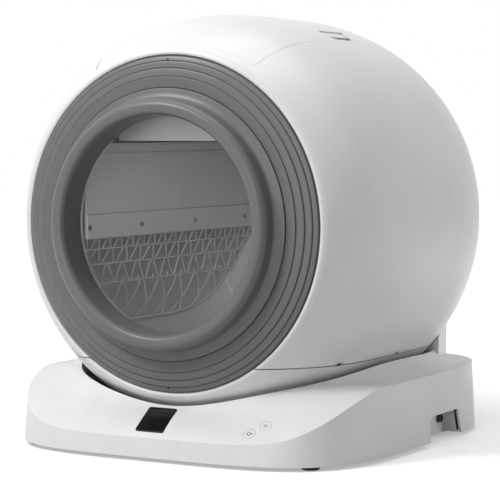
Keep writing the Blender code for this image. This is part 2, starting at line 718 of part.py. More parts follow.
def lip_outline(back):
    """The rolled lip as a hollow moulding: its outer side, then its inner side back again."""
    edge = STEP_RADII[-1]
    front = STEP_FRONTS[-1]
    crest_half = LIP_CREST_FRONT - LIP_INNER_FRONT
    outer = [
        (LIP_CREST_RADIUS, -LIP_CREST_FRONT),
        ((LIP_CREST_RADIUS + LIP_OUTER_RADIUS) / 2, crest_half / 5 - LIP_CREST_FRONT),
        (LIP_OUTER_RADIUS, -LIP_INNER_FRONT),
        ((LIP_OUTER_RADIUS + LIP_ROOT_RADIUS) / 2, -2 * front),
        (LIP_ROOT_RADIUS, -front - LIP_WALL / 2),
        (edge, -front),
        (edge, back),
        (edge - LIP_WALL, back),
    ]
    hollow = [
        (edge - LIP_WALL, LIP_WALL - front),
        (LIP_ROOT_RADIUS - LIP_WALL, LIP_WALL / 2 - front),
        (LIP_OUTER_RADIUS - LIP_WALL, LIP_WALL - LIP_INNER_FRONT),
        (LIP_CREST_RADIUS, LIP_WALL - LIP_CREST_FRONT),
        (LIP_INNER_RADIUS + LIP_WALL, LIP_WALL - LIP_INNER_FRONT),
        (ENTRY_RADIUS + LIP_WALL, TUNNEL_END_DEPTH),
    ]
    throat = [(ENTRY_RADIUS, TUNNEL_END_DEPTH), (LIP_INNER_RADIUS, -LIP_INNER_FRONT)]
    shoulder = [((LIP_INNER_RADIUS + LIP_CREST_RADIUS) / 2, crest_half / 4 - LIP_CREST_FRONT)]
    return outer + hollow + throat + shoulder


def drum_radius(depth):
    return globe_radius(depth) - DRUM_GAP


def drum_outer_outline(offset=0.0):
    """The drum's outer side behind its front wall: roller tracks, gear seat and rounded tail."""
    half = TRACK_WIDTH / 2
    front = (FRONT_TRACK_DEPTH - half, FRONT_TRACK_DEPTH + half)
    rear = (REAR_TRACK_DEPTH - half, REAR_TRACK_DEPTH + half)
    points = [(drum_radius(DRUM_FRONT_DEPTH), DRUM_FRONT_DEPTH - offset)]
    points += [(FRONT_TRACK_RADIUS, depth) for depth in front]
    points += [(drum_radius(depth), depth) for depth in depths_between(front[1] + SEAT_GAP, rear[0], 5)]
    points += [(REAR_TRACK_RADIUS, depth) for depth in rear]
    points.append((drum_radius(GEAR_SEAT_DEPTH), GEAR_SEAT_DEPTH))
    points += [(GEAR_SEAT_RADIUS, GEAR_SEAT_DEPTH), (GEAR_SEAT_RADIUS, GEAR_SEAT_END)]
    points += [(drum_radius(depth), depth) for depth in drum_tail_depths()]
    return [(radius + offset, depth) for radius, depth in points]


def drum_tail_depths():
    return depths_between(DRUM_REAR_DEPTH, GEAR_SEAT_END, 3, 1.3)[::-1]


def drum_inner_outline(offset=0.0):
    """The drum's inner side from rear to mouth, moved inwards by an offset."""
    wall = DRUM_WALL + offset
    rear = DRUM_REAR_DEPTH - wall
    points = [(drum_radius(rear) - wall, rear)]
    points += [(drum_radius(depth) - wall, depth) for depth in drum_tail_depths()[-2::-1]]
    points.append((GEAR_SEAT_RADIUS - wall, GEAR_SEAT_DEPTH - wall))
    points.append((drum_radius(GEAR_SEAT_DEPTH) - wall, GEAR_SEAT_DEPTH - wall))
    track_end = FRONT_TRACK_DEPTH + TRACK_WIDTH / 2 + wall
    middle = depths_between(REAR_TRACK_DEPTH, track_end, 5)
    points += [(drum_radius(depth) - wall, depth) for depth in middle]
    track = FRONT_TRACK_RADIUS - wall
    points += [(track, track_end), (track, FRONT_TRACK_DEPTH - TRACK_WIDTH / 2)]
    front = DRUM_FRONT_DEPTH + wall
    points.append((drum_radius(DRUM_FRONT_DEPTH) - wall, front))
    return points


def drum_cavity(name, offset):
    """The space inside the drum as a cutter, smaller by an offset."""
    inner = drum_inner_outline(offset)
    front = DRUM_FRONT_DEPTH + DRUM_WALL + offset
    outline = [(0, front)] + inner[::-1] + [(0, inner[0][1])]
    return turned(name, outline, DRUM_STEPS, cutter=True, closed=False)


def build_drum(drum_axis):
    """Drum with its window for the bin, and the ring gear on its seat."""
    outline = [(0, DRUM_REAR_DEPTH - DRUM_WALL)] + drum_inner_outline()
    outline += [(MOUTH_RADIUS, DRUM_FRONT_DEPTH + DRUM_WALL), (MOUTH_RADIUS, MOUTH_FRONT_DEPTH)]
    outline.append((MOUTH_RADIUS + MOUTH_WALL, MOUTH_FRONT_DEPTH))
    outline.append((MOUTH_RADIUS + MOUTH_WALL, DRUM_FRONT_DEPTH))
    outline += drum_outer_outline() + [(0, DRUM_REAR_DEPTH)]
    drum = turned("drum", outline, DRUM_STEPS, (PALE_GREY, 0.45), closed=False)
    cut(drum, bin_box("bin_window", BIN_WINDOW_GAP, BIN_FLOOR_RISE))
    bore = GEAR_SEAT_RADIUS + SEAT_GAP
    gear = gear_piece("ring_gear", RING_TEETH, bore, DRUM_STEPS, (WHITE, 0.4), -RING_TEETH / 4)
    gear.matrix_world = drum_frame(GEAR_DEPTH + GEAR_WIDTH / 2, 0)
    carry(drum_axis, drum, gear)


def drum_solid(name, offset):
    """The drum's outside as a cutter, larger by an offset."""
    outline = [(0, DRUM_FRONT_DEPTH - offset)] + drum_outer_outline(offset) + [(0, DRUM_REAR_DEPTH)]
    return turned(name, outline, DRUM_STEPS, cutter=True, closed=False)


def bin_box(name, reach, floor, surface=None):
    """A box with the bin's plan, larger by a reach, from a floor up past the globe."""
    return box(
        name,
        world(-BIN_HALF_WIDTH - reach, BIN_FRONT_DEPTH - reach, floor),
        world(BIN_HALF_WIDTH + reach, BIN_REAR_DEPTH + reach, GLOBE_RADIUS + OVERRUN),
        surface,
        cutter=surface is None,
    )


def build_bin():
    """An open-topped bin that hangs by its flange in the drum's window, and its lifting bar."""
    body = bin_box("waste_bin", 0, BIN_FLOOR_RISE, (GREY, 0.5))
    flange = bin_box("bin_flange", BIN_WINDOW_GAP + BIN_FLANGE_REACH, BIN_FLOOR_RISE)
    cut(flange, drum_solid("flange_seat", SEAT_GAP))
    cut(body, flange, "UNION")
    cut(body, drum_solid("flange_top", SEAT_GAP + BIN_FLANGE), "INTERSECT")
    cut(body, bin_box("bin_hollow", -BIN_WALL, BIN_FLOOR_RISE + BIN_WALL))
    depth = (BIN_FRONT_DEPTH + BIN_REAR_DEPTH) / 2
    frame = Matrix.Translation(world(0, depth, GLOBE_RADIUS - BIN_HANDLE_DROP))
    frame = frame @ Matrix.Rotation(math.radians(90), 4, "Y")
    length = 2 * (BIN_HALF_WIDTH - BIN_WALL - SEAT_GAP)
    handle = cylinder("bin_handle", frame, BIN_HANDLE_RADIUS, length, (DARK, 0.5), steps=12)
    carry(axis_empty("bin_slide", world(0, depth, BIN_FLOOR_RISE)), body, handle)


def pitch_radius(teeth):
    return GEAR_MODULE * teeth / 2


def gear_outline(teeth, phase=0.0):
    """Straight-sided teeth: four points to a tooth, thinned by half the backlash on each flank.

    The phase, in teeth, turns the gear: minus a quarter of the teeth puts one straight down.
    """
    pitch = pitch_radius(teeth)
    tip = pitch + GEAR_MODULE
    root = pitch - GEAR_MODULE - ROOT_CLEARANCE
    points = []
    thin = GEAR_BACKLASH / 2 / pitch
    for tooth in range(teeth):
        centre = math.tau * (tooth + phase) / teeth
        half = math.tau / teeth / 4
        for radius, angle in (
            (root, -1.75 * half + thin),
            (tip, -0.45 * half + thin),
            (tip, 0.45 * half - thin),
            (root, 1.75 * half - thin),
        ):
            points.append((radius * math.cos(centre + angle), radius * math.sin(centre + angle)))
    return points


def gear_piece(name, teeth, bore, bore_steps, surface, phase=0.0):
    """A spur gear: a flat outline with its bore, extruded to its width."""
    curve = bpy.data.curves.new(name, "CURVE")
    curve.dimensions = "2D"
    curve.fill_mode = "BOTH"
    curve.extrude = GEAR_WIDTH / 2
    hole = [
        (bore * math.cos(math.tau * i / bore_steps), bore * math.sin(math.tau * i / bore_steps))
        for i in range(bore_steps)
    ]
    for outline in (gear_outline(teeth, phase), hole):
        spline = curve.splines.new("POLY")
        spline.points.add(len(outline) - 1)
        for point, (x, y) in zip(spline.points, outline):
            point.co = (x, y, 0, 1)
        spline.use_cyclic_u = True
    return from_curve(name, curve, Matrix.Identity(4), surface)


def drum_frame(depth, rise):
    """A frame over or under the drum's axis whose Z axis points forwards along it."""
    return Matrix.Translation(world(0, depth, rise)) @ Matrix.Rotation(math.radians(90), 4, "X")


def screen_x(drop):
    share = max(0.0, drop - STRIP_BOTTOM_DROP) / (SCREEN_FOOT_DROP - STRIP_BOTTOM_DROP)
    return -WALL_X - (SCREEN_FOOT_X - WALL_X) * share**SCREEN_POWER


def screen_reach(depth, inset):
    """How far down the screen reaches at a depth before it meets the drum's wall."""
    outline = drum_inner_outline(SCREEN_EDGE_GAP)[::-1]
    room = GLOBE_RADIUS
    for (r0, d0), (r1, d1) in zip(outline, outline[1:]):
        if d0 <= depth <= d1 and d1 > d0:
            room = min(room, r0 + (r1 - r0) * (depth - d0) / (d1 - d0))
    low = STRIP_BOTTOM_DROP
    high = SCREEN_FOOT_DROP
    for _ in range(20):
        drop = (low + high) / 2
        if math.hypot(screen_x(drop), drop) + inset < room:
            low = drop
        else:
            high = drop
    return low


def row_windows(top, bottom, pitch, crossed):
    """The openings of one row: a strut and a diagonal to each pitch, or a zigzag."""
    upper = top + SCREEN_BAR / 2
    lower = bottom - SCREEN_BAR / 2
    strut = SCREEN_STRUT
    start = SIFT_FRONT_DEPTH + SCREEN_BAR
    count = int((SIFT_REAR_DEPTH - SCREEN_BAR - start) / pitch)
    windows = []
    for number in range(count):
        near = start + number * pitch
        far = near + pitch - strut
        if crossed:
            windows.append([(near, upper), (far - 1.5 * strut, upper), (near, lower - 2 * strut)])
            windows.append([(far, lower), (near + 1.5 * strut, lower), (far, upper + 2 * strut)])
        else:
            middle = (near + far) / 2
            windows.append([(near + strut, upper), (far - strut, upper), (middle, lower - strut)])
            turn = far + strut / 2
            near = (turn + pitch / 2 - strut, lower)
            windows.append([(turn, upper + strut), near, (middle + strut, lower)])
    if not crossed:
        windows.pop()
    return windows


def screen_outline(inset):
    """The screen's edge as (depth, drop) points, moved inwards by an inset."""
    front = SIFT_FRONT_DEPTH + inset
    rear = SIFT_REAR_DEPTH - inset
    top = STRIP_BOTTOM_DROP + SEAT_GAP + inset
    depths = depths_between(front, rear, SCREEN_EDGE_STEPS)
    depths += [d for r, d in drum_inner_outline(SCREEN_EDGE_GAP) if front < d < rear]
    depths.sort()
    return [(front, top), (rear, top)] + [(d, screen_reach(d, inset)) for d in depths[::-1]]


def build_screen():
    """The sifting screen as one sheet with its openings left out, given a thickness."""
    span = SCREEN_FOOT_DROP - STRIP_BOTTOM_DROP
    bars = [STRIP_BOTTOM_DROP + span * share for share in SCREEN_BAR_SHARES]
    levels = [STRIP_BOTTOM_DROP + SEAT_GAP + SCREEN_BAR / 2, *bars, SCREEN_FOOT_DROP]
    frame = screen_outline(SCREEN_BAR)
    outlines = [screen_outline(0), frame]
    for number, pitch in enumerate(SCREEN_PITCHES):
        for window in row_windows(levels[number], levels[number + 1], pitch, number < 2):
            if sum(inside(corner, frame) for corner in window) > 1:
                outlines.append(window)
    outlines += [[(SIFT_FRONT_DEPTH, level), (SIFT_REAR_DEPTH, level)] for level in levels[1:-1]]
    points = []
    edges = []
    for outline in outlines:
        first = len(points)
        count = len(outline)
        points += [Vector(corner) for corner in outline]
        edges += [(first + i, first + (i + 1) % count) for i in range(count)]
    flat, _, faces, *_ = delaunay_2d_cdt(points, edges, [], 0, WELD)
    shape = bmesh.new()
    verts = [shape.verts.new(world(screen_x(p.y), p.x, -p.y)) for p in flat]
    for face in faces:
        centre = sum((flat[i] for i in face), Vector((0, 0))) / len(face)
        opening = inside(centre, frame) and any(inside(centre, window) for window in outlines[2:])
        if inside(centre, outlines[0]) and not opening:
            shape.faces.new([verts[i] for i in face])
    loose = [v for v in shape.verts if not v.link_faces]
    bmesh.ops.delete(shape, geom=loose, context="VERTS")
    bmesh.ops.recalc_face_normals(shape, faces=shape.faces)
    made = from_bmesh("sifting_screen", shape, (PALE_GREY, 0.5))
    thick = made.modifiers.new("thickness", "SOLIDIFY")
    thick.thickness = SCREEN_THICKNESS
    thick.offset = 0
    return made


def inside(point, corners):
    """True where a point lies within an outline: it crosses an odd number of sides."""
    crossed = False
    for (ax, ay), (bx, by) in zip(corners, [*corners[1:], corners[0]]):
        if (ay > point[1]) != (by > point[1]):
            if point[0] < ax + (bx - ax) * (point[1] - ay) / (by - ay):
                crossed = not crossed
    return crossed


def build_sifting_wall(drum_axis):
    """Divider panel, the strip that clamps the screen, the screen and the strip's screws."""
    face = -WALL_X + PANEL_THICKNESS / 2
    room = drum_cavity("panel_room", SEAT_GAP)
    panel = box(
        "divider_panel",
        world(face - PANEL_THICKNESS, SIFT_FRONT_DEPTH, STRIP_TOP_RISE + SEAT_GAP),
        world(face, SIFT_REAR_DEPTH, PANEL_TOP_RISE),
        (PALE_GREY, 0.5),
    )
    ledge = box(
        "panel_ledge",
        world(face - PANEL_LEDGE_DEPTH, 0, PANEL_LEDGE_RISE),
        world(face + PANEL_THICKNESS, BACK_DEPTH, PANEL_TOP_RISE + OVERRUN),
        cutter=True,
    )
    cut(panel, ledge)
    cut(panel, room, "INTERSECT")
    strip = box(
        "screen_strip",
        world(face - PANEL_THICKNESS, SIFT_FRONT_DEPTH, -STRIP_BOTTOM_DROP),
        world(face + STRIP_PROUD, SIFT_REAR_DEPTH, STRIP_TOP_RISE),
        (PALE_GREY, 0.45),
    )
    screen = build_screen()
    screws = []
    second = SIFT_FRONT_DEPTH + STRIP_SCREW_SECOND
    last = SIFT_REAR_DEPTH - STRIP_SCREW_REAR_MARGIN
    depths = (SIFT_FRONT_DEPTH + STRIP_SCREW_FRONT_MARGIN, second, (second + last) / 2, last)
    for number, depth in enumerate(depths):
        x = face + STRIP_PROUD + SEAT_GAP + SCREW_HEAD_HEIGHT / 2
        place = Matrix.Translation(world(x, depth, STRIP_SCREW_RISE))
        frame = place @ Matrix.Rotation(math.radians(90), 4, "Y")
        name = f"strip_screw_{number + 1}"
        finish_of_head = (STEEL, 0.3, 1.0)
        screws.append(cylinder(name, frame, SCREW_HEAD_RADIUS, SCREW_HEAD_HEIGHT, finish_of_head, steps=10))
    carry(drum_axis, panel, strip, screen, *screws)


def build_roller(name, track_radius, depth, angle):
    """A roller under the drum on its axle, in a bracket moulded to the lower shell."""
    centre = track_radius + SEAT_GAP + ROLLER_RADIUS
    turn = math.pi - angle
    frame = radial_frame(turn, centre, depth)
    along = frame @ Matrix.Rotation(math.radians(90), 4, "X")
    roller = cylinder(f"{name}_roller", along, ROLLER_RADIUS, ROLLER_WIDTH, (DARK, 0.6))
    bore = cylinder(f"{name}_roller_bore", along, ROLLER_BORE, ROLLER_WIDTH + OVERRUN, cutter=True, steps=12)
    cut(roller, bore)
    span = ROLLER_WIDTH + 2 * (BRACKET_CHEEK + BRACKET_SIDE_GAP)
    cylinder(f"{name}_roller_axle", along, AXLE_RADIUS - SEAT_GAP, span, (STEEL, 0.3, 1.0), steps=12)
    reach = GLOBE_RADIUS - centre + AXLE_RADIUS + SEAT_GAP + BRACKET_CHEEK
    base = centre - AXLE_RADIUS - SEAT_GAP - BRACKET_CHEEK + reach / 2
    bracket = block(
        f"{name}_roller_bracket",
        radial_frame(turn, base, depth),
        (2 * BRACKET_HALF_WIDTH, span, reach),
        (WHITE, 0.45),
    )
    cut(bracket, FIT["shell_inner"], "INTERSECT")
    pocket = cylinder(
        f"{name}_roller_pocket",
        along,
        ROLLER_RADIUS + BRACKET_POCKET_GAP,
        ROLLER_WIDTH + 2 * BRACKET_SIDE_GAP,
        cutter=True,
    )
    cut(bracket, pocket)
    hole = cylinder(f"{name}_axle_hole", along, AXLE_RADIUS, span + OVERRUN, cutter=True, steps=12)
    cut(bracket, hole)
    carry(axis_empty(f"{name}_roller_axis", frame.translation), roller)


def skirt_height(depth):
    """The skirt's top edge: low across the front, sweeping up to the level shoulder."""
    behind = depth + BASE_HALF_DEPTH - COLLAR_SETBACK
    share = max(0.0, (FASCIA_REACH - behind) / (FASCIA_REACH - SKIRT_DRAFT))
    fall = FASCIA_FALL * share**FASCIA_FALL_POWER
    fall /= (1 + fall**FASCIA_SOFTNESS) ** (1 / FASCIA_SOFTNESS)
    return SHOULDER_HEIGHT - (SHOULDER_HEIGHT - FASCIA_HEIGHT) * fall


def oval(half_width, half_depth, power, bearing):
    """A point of a rounded rectangle, seen from its centre at a bearing."""
    across = abs(math.cos(bearing)) / half_width
    along = abs(math.sin(bearing)) / half_depth
    radius = (across**power + along**power) ** (-1 / power)
    return radius * math.cos(bearing), radius * math.sin(bearing)


def skirt_point(bearing, height, inset=0.0):
    x, y = oval(BASE_HALF_WIDTH - inset, BASE_HALF_DEPTH - inset, BASE_POWER, bearing)
    return Vector((x, y, height))


def skirt_edge(bearing, inset=0.0, drop=0.0):
    x, y = oval(BASE_HALF_WIDTH - inset, BASE_HALF_DEPTH - inset, BASE_POWER, bearing)
    return Vector((x, y, skirt_height(y + COLLAR_SETBACK) - drop))


def rim_point(bearing, inset=0.0, drop=0.0):
    """The rim of the opening for the globe: a steady gap from the globe, and no higher than a crest."""
    turned_to = bearing + RIM_WARP * math.sin(2 * bearing)
    x, y = oval(RIM_HALF_WIDTH, RIM_HALF_DEPTH, RIM_POWER, turned_to)
    y += RIM_SETBACK
    radius = globe_radius(max(0.0, y + COLLAR_SETBACK)) + RIM_GAP
    follows = AXIS_HEIGHT - math.sqrt(max(0.0, radius**2 - x**2))
    height = min(follows, SHOULDER_HEIGHT + RIM_CREST) - drop
    shrink = 1 - inset / RIM_HALF_WIDTH
    return Vector((x * shrink, (y - RIM_SETBACK) * shrink + RIM_SETBACK, height))


def top_point(bearing, share):
    """A point of the base's top between the skirt's edge and the rim.

    In front of the crease the top is slightly crowned, and behind it the shoulder is hollow.
    """
    low = skirt_edge(bearing, SKIRT_DRAFT + EDGE_ROUND)
    high = rim_point(bearing)
    if math.sin(bearing) < -math.sin(CREASE_BEARING):
        lift = FASCIA_BULGE * 4 * share * (1 - share)
    else:
        lift = (high.z - low.z) * (share**SHOULDER_POWER - share)
    return low.lerp(high, share) + Vector((0, 0, lift))


def top_frame(bearing, share):
    """A frame on the base's top: X sideways, Y up the slope, Z out of the surface."""
    step = 0.05
    centre = top_point(bearing, share)
    up = (top_point(bearing, share + step) - top_point(bearing, share - step)).normalized()
    across = (top_point(bearing + step, share) - top_point(bearing - step, share)).normalized()
    out = across.cross(up).normalized()
    side = Vector((1, 0, 0))
    side = (side - out * side.dot(out)).normalized()
    frame = Matrix((side, out.cross(side), out)).transposed().to_4x4()
    frame.translation = centre
    return frame


def base_rings():
    """The base's outer surface as rings of points from the skirt's foot to the rim's lip."""
    bearings = [math.tau * i / BASE_STEPS for i in range(BASE_STEPS)]
    rings = [[skirt_point(b, SKIRT_FOOT) for b in bearings]]
    rings.append([skirt_edge(b, SKIRT_DRAFT, EDGE_ROUND) for b in bearings])
    rings += [[top_point(b, share) for b in bearings] for share in TOP_SHARES]
    rings.append([rim_point(b, RIM_LIP_INSET, RIM_LIP_DEPTH) for b in bearings])
    return rings


def build_base():
    """Base housing with its openings, bottom plate and feet."""
    shape = bmesh.new()
    rings = [[shape.verts.new(point) for point in ring] for ring in base_rings()]
    for lower, upper in zip(rings, rings[1:]):
        for i in range(BASE_STEPS):
            j = (i + 1) % BASE_STEPS
            shape.faces.new((lower[i], lower[j], upper[j], upper[i]))
    bmesh.ops.recalc_face_normals(shape, faces=shape.faces)
    base = from_bmesh("base_housing", shape, (WHITE, 0.4))
    thick = base.modifiers.new("thickness", "SOLIDIFY")
    thick.thickness = BASE_WALL
    thick.offset = -1
    smooth(base)
    plate_inset = BASE_WALL + 3 * SEAT_GAP
    half_width = BASE_HALF_WIDTH - plate_inset
    half_depth = BASE_HALF_DEPTH - plate_inset
    turns = [math.tau * i / BASE_STEPS for i in range(BASE_STEPS)]
    plan = [oval(half_width, half_depth, BASE_POWER, turn) for turn in turns]
    bottom = prism("base_bottom_plate", plan, SKIRT_FOOT, SKIRT_FOOT + BOTTOM_PLATE, (WHITE, 0.5))
    foot_height = SKIRT_FOOT - SEAT_GAP
    for name, side, end in (
        ("front_left", -1, -1),
        ("front_right", 1, -1),
        ("rear_left", -1, 1),
        ("rear_right", 1, 1),
    ):
        place = Matrix.Translation((side * FOOT_X, end * FOOT_Y, foot_height / 2))
        foot = cylinder(f"foot_{name}", place, FOOT_RADIUS, foot_height, (DARK, 0.8))
        edge = foot.modifiers.new("edge", "BEVEL")
        edge.width = FOOT_ROUND
        edge.segments = 1
        edge.limit_method = "ANGLE"
        edge.angle_limit = math.radians(60)
    return base, bottom


def build_front_panel(base):
    """Display window, the two touch keys and the board behind them."""
    frame = top_frame(DISPLAY_BEARING, DISPLAY_SHARE)
    middle = Matrix.Translation((0, 0, DISPLAY_THICKNESS / 2 - DISPLAY_SINK))
    size = (DISPLAY_WIDTH, DISPLAY_HEIGHT, DISPLAY_THICKNESS)
    display = block("display_window", frame @ middle, size, (DARK, 0.1))
    rounding = display.modifiers.new("corners", "BEVEL")
    rounding.width = DISPLAY_ROUND
    rounding.segments = 4
    rounding.affect = "EDGES"
    rounding.limit_method = "WEIGHT"
    weights = display.data.attributes.new("bevel_weight_edge", "FLOAT", "EDGE")
    for edge in display.data.edges:
        a, b = (display.data.vertices[i].co for i in edge.vertices)
        weights.data[edge.index].value = 1.0 if abs(a.z - b.z) > WELD else 0.0
    well = block(
        "display_well",
        frame,
        (DISPLAY_WIDTH + 2 * SEAT_GAP, DISPLAY_HEIGHT + 2 * SEAT_GAP, 2 * (DISPLAY_SINK + SEAT_GAP)),
        cutter=True,
    )
    cut(base, well)
    for number, (bearing, share) in enumerate(zip(KEY_BEARINGS, KEY_SHARES)):
        frame = top_frame(bearing, share)
        place = frame @ Matrix.Translation((0, 0, KEY_THICKNESS / 2 - KEY_SINK))
        cylinder(f"touch_key_{number + 1}", place, KEY_RADIUS, KEY_THICKNESS, (WHITE, 0.3))
        well = cylinder(
            f"key_well_{number + 1}", frame, KEY_RADIUS + SEAT_GAP, 2 * (KEY_SINK + SEAT_GAP), cutter=True
        )
        cut(base, well)
    build_board()


def build_board():
    """The control board, standing on its legs on the bottom plate."""
    floor = SKIRT_FOOT + BOTTOM_PLATE + SEAT_GAP
    low = (-BOARD_WIDTH / 2, -BOARD_SETBACK - BOARD_DEPTH / 2, floor + BOARD_LIFT)
    high = (BOARD_WIDTH / 2, BOARD_DEPTH / 2 - BOARD_SETBACK, floor + BOARD_LIFT + BOARD_THICKNESS)
    board = box("control_board", low, high, (GREEN, 0.5))
    inset = 2 * BOARD_LEG
    half = BOARD_LEG / 2
    for x in (low[0] + inset, high[0] - inset):
        for y in (low[1] + inset, high[1] - inset):
            leg = box(
                f"board_leg_{len(board.modifiers)}",
                (x - half, y - half, floor),
                (x + half, y + half, high[2] - BOARD_THICKNESS / 2),
                cutter=True,
            )
            cut(board, leg, "UNION")


def notch_prism(name, reach, low, high, surface=None, cutter=False):
    """The notch's side view, larger by a reach, extruded between two places across the base.

    Its top front corner is round, and its rear edge leans forwards.
    """
    front = NOTCH_FRONT_DEPTH - COLLAR_SETBACK - reach
    rear = NOTCH_REAR_DEPTH - COLLAR_SETBACK + reach
    slope = NOTCH_SLANT / NOTCH_HEIGHT
    top = NOTCH_HEIGHT + reach
    foot = SKIRT_FOOT if surface else -OVERRUN
    curve = NOTCH_ROUND + reach
    outline = [(foot, rear - slope * foot), (foot, front)]
    for i in range(NOTCH_ROUND_STEPS + 1):
        angle = math.radians(90) * i / NOTCH_ROUND_STEPS
        outline.append((top - curve * (1 - math.sin(angle)), front + curve * (1 - math.cos(angle))))
    outline.append((top, rear - slope * top))
    made = prism(name, outline, low, high, surface, cutter)
    made.matrix_world = Matrix.Rotation(math.radians(-90), 4, "Y") @ made.matrix_world
    return made


def build_inlet(base, plate_of_base):
    """The notch for the adapter's lead, the tray that lines it and the power inlet."""
    outer = BASE_HALF_WIDTH + OVERRUN
    inner = BASE_HALF_WIDTH - SKIRT_DRAFT - NOTCH_INSET
    wall = inner - SEAT_GAP
    cut(base, notch_prism("notch", 0, -outer, -inner, cutter=True))
    reach = NOTCH_PLATE + SEAT_GAP
    room = notch_prism("inlet_room", reach, -outer, reach - wall, cutter=True)
    cut(plate_of_base, room)
    edge = BASE_HALF_WIDTH - SKIRT_DRAFT - BASE_WALL - EDGE_ROUND
    tray = notch_prism("inlet_plate", NOTCH_PLATE, -edge, NOTCH_PLATE - wall, (WHITE, 0.45))
    cut(tray, notch_prism("inlet_hollow", 0, -outer, -wall, cutter=True))
    place = Matrix.Translation(world(wall - NOTCH_PLATE, JACK_DEPTH, JACK_HEIGHT - AXIS_HEIGHT))
    frame = place @ Matrix.Rotation(math.radians(90), 4, "Y")
    hole = cylinder("inlet_hole", frame, JACK_RADIUS + SEAT_GAP, 2 * OVERRUN, cutter=True)
    cut(tray, hole)
    jack = cylinder("power_inlet", frame, JACK_RADIUS, JACK_LENGTH, (DARK, 0.4))
    mouth = frame @ Matrix.Translation((0, 0, JACK_LENGTH / 2))
    bore = cylinder("inlet_bore", mouth, JACK_BORE, JACK_LENGTH, cutter=True, steps=12)
    cut(jack, bore)


def housing_plan(inset):
    """The rear housing's plan: wide in front, narrower at the back, with rounded rear corners."""
    front = HOUSING_FRONT_DEPTH - COLLAR_SETBACK + inset
    rear = HOUSING_REAR_DEPTH - COLLAR_SETBACK - inset
    wide = HOUSING_FRONT_HALF_WIDTH - inset
    narrow = HOUSING_REAR_HALF_WIDTH - inset
    curve = HOUSING_ROUND - inset
    half = []
    for i in range(HOUSING_ROUND_STEPS + 1):
        angle = math.radians(90) * i / HOUSING_ROUND_STEPS
        half.append((narrow - curve * (1 - math.cos(angle)), rear - curve * (1 - math.sin(angle))))
    right = [(wide, front)] + half
    left = [(-x, y) for x, y in right[::-1]]
    return right + left


def build_rear_housing(base):
    """The housing behind the globe, which rises out of the base and holds the drive."""
    floor = SKIRT_FOOT + BOTTOM_PLATE + SEAT_GAP
    top = AXIS_HEIGHT - HOUSING_TOP_DROP
    housing = prism("rear_housing", housing_plan(0), floor, top, (WHITE, 0.4))
    inside_walls = prism(
        "housing_inside", housing_plan(HOUSING_WALL), floor - OVERRUN, top - HOUSING_WALL, cutter=True
    )
    cut(inside_walls, globe_solid("housing_lining", RIM_GAP / 2 + HOUSING_WALL))
    cut(housing, inside_walls)
    cut(housing, globe_solid("housing_seat", SEAM_GAP))
    cut(housing, pinion_window("housing_window"))
    slot = prism("housing_slot", housing_plan(-HOUSING_SLOT_GAP), floor, top + OVERRUN, cutter=True)
    cut(base, slot)
    return housing


def build_drive(housing):
    """Pinion, motor and the cradle that holds the motor on the bottom plate."""
    centre = -pitch_radius(RING_TEETH) - pitch_radius(PINION_TEETH)
    phase = 0.5 + PINION_TEETH / 4
    pinion = gear_piece("drive_pinion", PINION_TEETH, SHAFT_RADIUS + SEAT_GAP, 12, (WHITE, 0.4), phase)
    pinion.matrix_world = drum_frame(GEAR_DEPTH + GEAR_WIDTH / 2, centre)
    carry(axis_empty("pinion_axis", world(0, GEAR_DEPTH, centre)), pinion)
    motor_middle = MOTOR_DEPTH + MOTOR_LENGTH / 2
    motor = cylinder(
        "drive_motor", drum_frame(motor_middle, centre), MOTOR_RADIUS, MOTOR_LENGTH, (STEEL, 0.35, 1.0)
    )
    shaft_front = GEAR_DEPTH - SEAM_GAP
    shaft = cylinder(
        "motor_shaft",
        drum_frame((shaft_front + motor_middle) / 2, centre),
        SHAFT_RADIUS,
        motor_middle - shaft_front,
        cutter=True,
        steps=12,
    )
    cut(motor, shaft, "UNION")
    floor = SKIRT_FOOT + BOTTOM_PLATE + SEAT_GAP
    middle = world(0, motor_middle, 0)
    cradle = box(
        "motor_cradle",
        (-CRADLE_HALF_WIDTH, middle.y - CRADLE_LENGTH / 2, floor),
        (CRADLE_HALF_WIDTH, middle.y + CRADLE_LENGTH / 2, AXIS_HEIGHT + centre),
        (DARK, 0.5),
    )
    seat = cylinder(
        "motor_seat", drum_frame(motor_middle, centre), MOTOR_RADIUS + SEAT_GAP, 2 * MOTOR_LENGTH, cutter=True
    )
    cut(cradle, seat)


def build_posts():
    """Posts on the bottom plate that carry the lower shell."""
    floor = SKIRT_FOOT + BOTTOM_PLATE + SEAT_GAP
    top = AXIS_HEIGHT - GLOBE_RADIUS + 2 * OVERRUN
    for name, side, depth in (
        ("front_left", -1, POST_FRONT_DEPTH),
        ("front_right", 1, POST_FRONT_DEPTH),
        ("rear_left", -1, POST_REAR_DEPTH),
        ("rear_right", 1, POST_REAR_DEPTH),
    ):
        foot = world(side * POST_X, depth, 0)
        place = Matrix.Translation((foot.x, foot.y, (floor + top) / 2))
        post = cylinder(f"post_{name}", place, POST_RADIUS, top - floor, (WHITE, 0.5))
        cut(post, FIT["globe_seat"])


FIT = {
    "shell_inner": shell_room("shell_inner"),
    "globe_seat": globe_solid("globe_seat", SEAT_GAP),
}


def build():
    build_fixed_globe()
    build_lid()
    build_collar()
    drum_axis = axis_empty("drum_axis", world(0, 0, 0))
    build_drum(drum_axis)
    build_bin()
    build_sifting_wall(drum_axis)
    for side, sign in (("left", -1), ("right", 1)):
        build_roller(f"front_{side}", FRONT_TRACK_RADIUS, FRONT_TRACK_DEPTH, sign * FRONT_ROLLER_ANGLE)
        build_roller(f"rear_{side}", REAR_TRACK_RADIUS, REAR_TRACK_DEPTH, sign * REAR_ROLLER_ANGLE)
    base, bottom = build_base()
    build_front_panel(base)
    build_inlet(base, bottom)
    housing = build_rear_housing(base)
    build_drive(housing)
    build_posts()
    bpy.context.view_layer.update()


build()
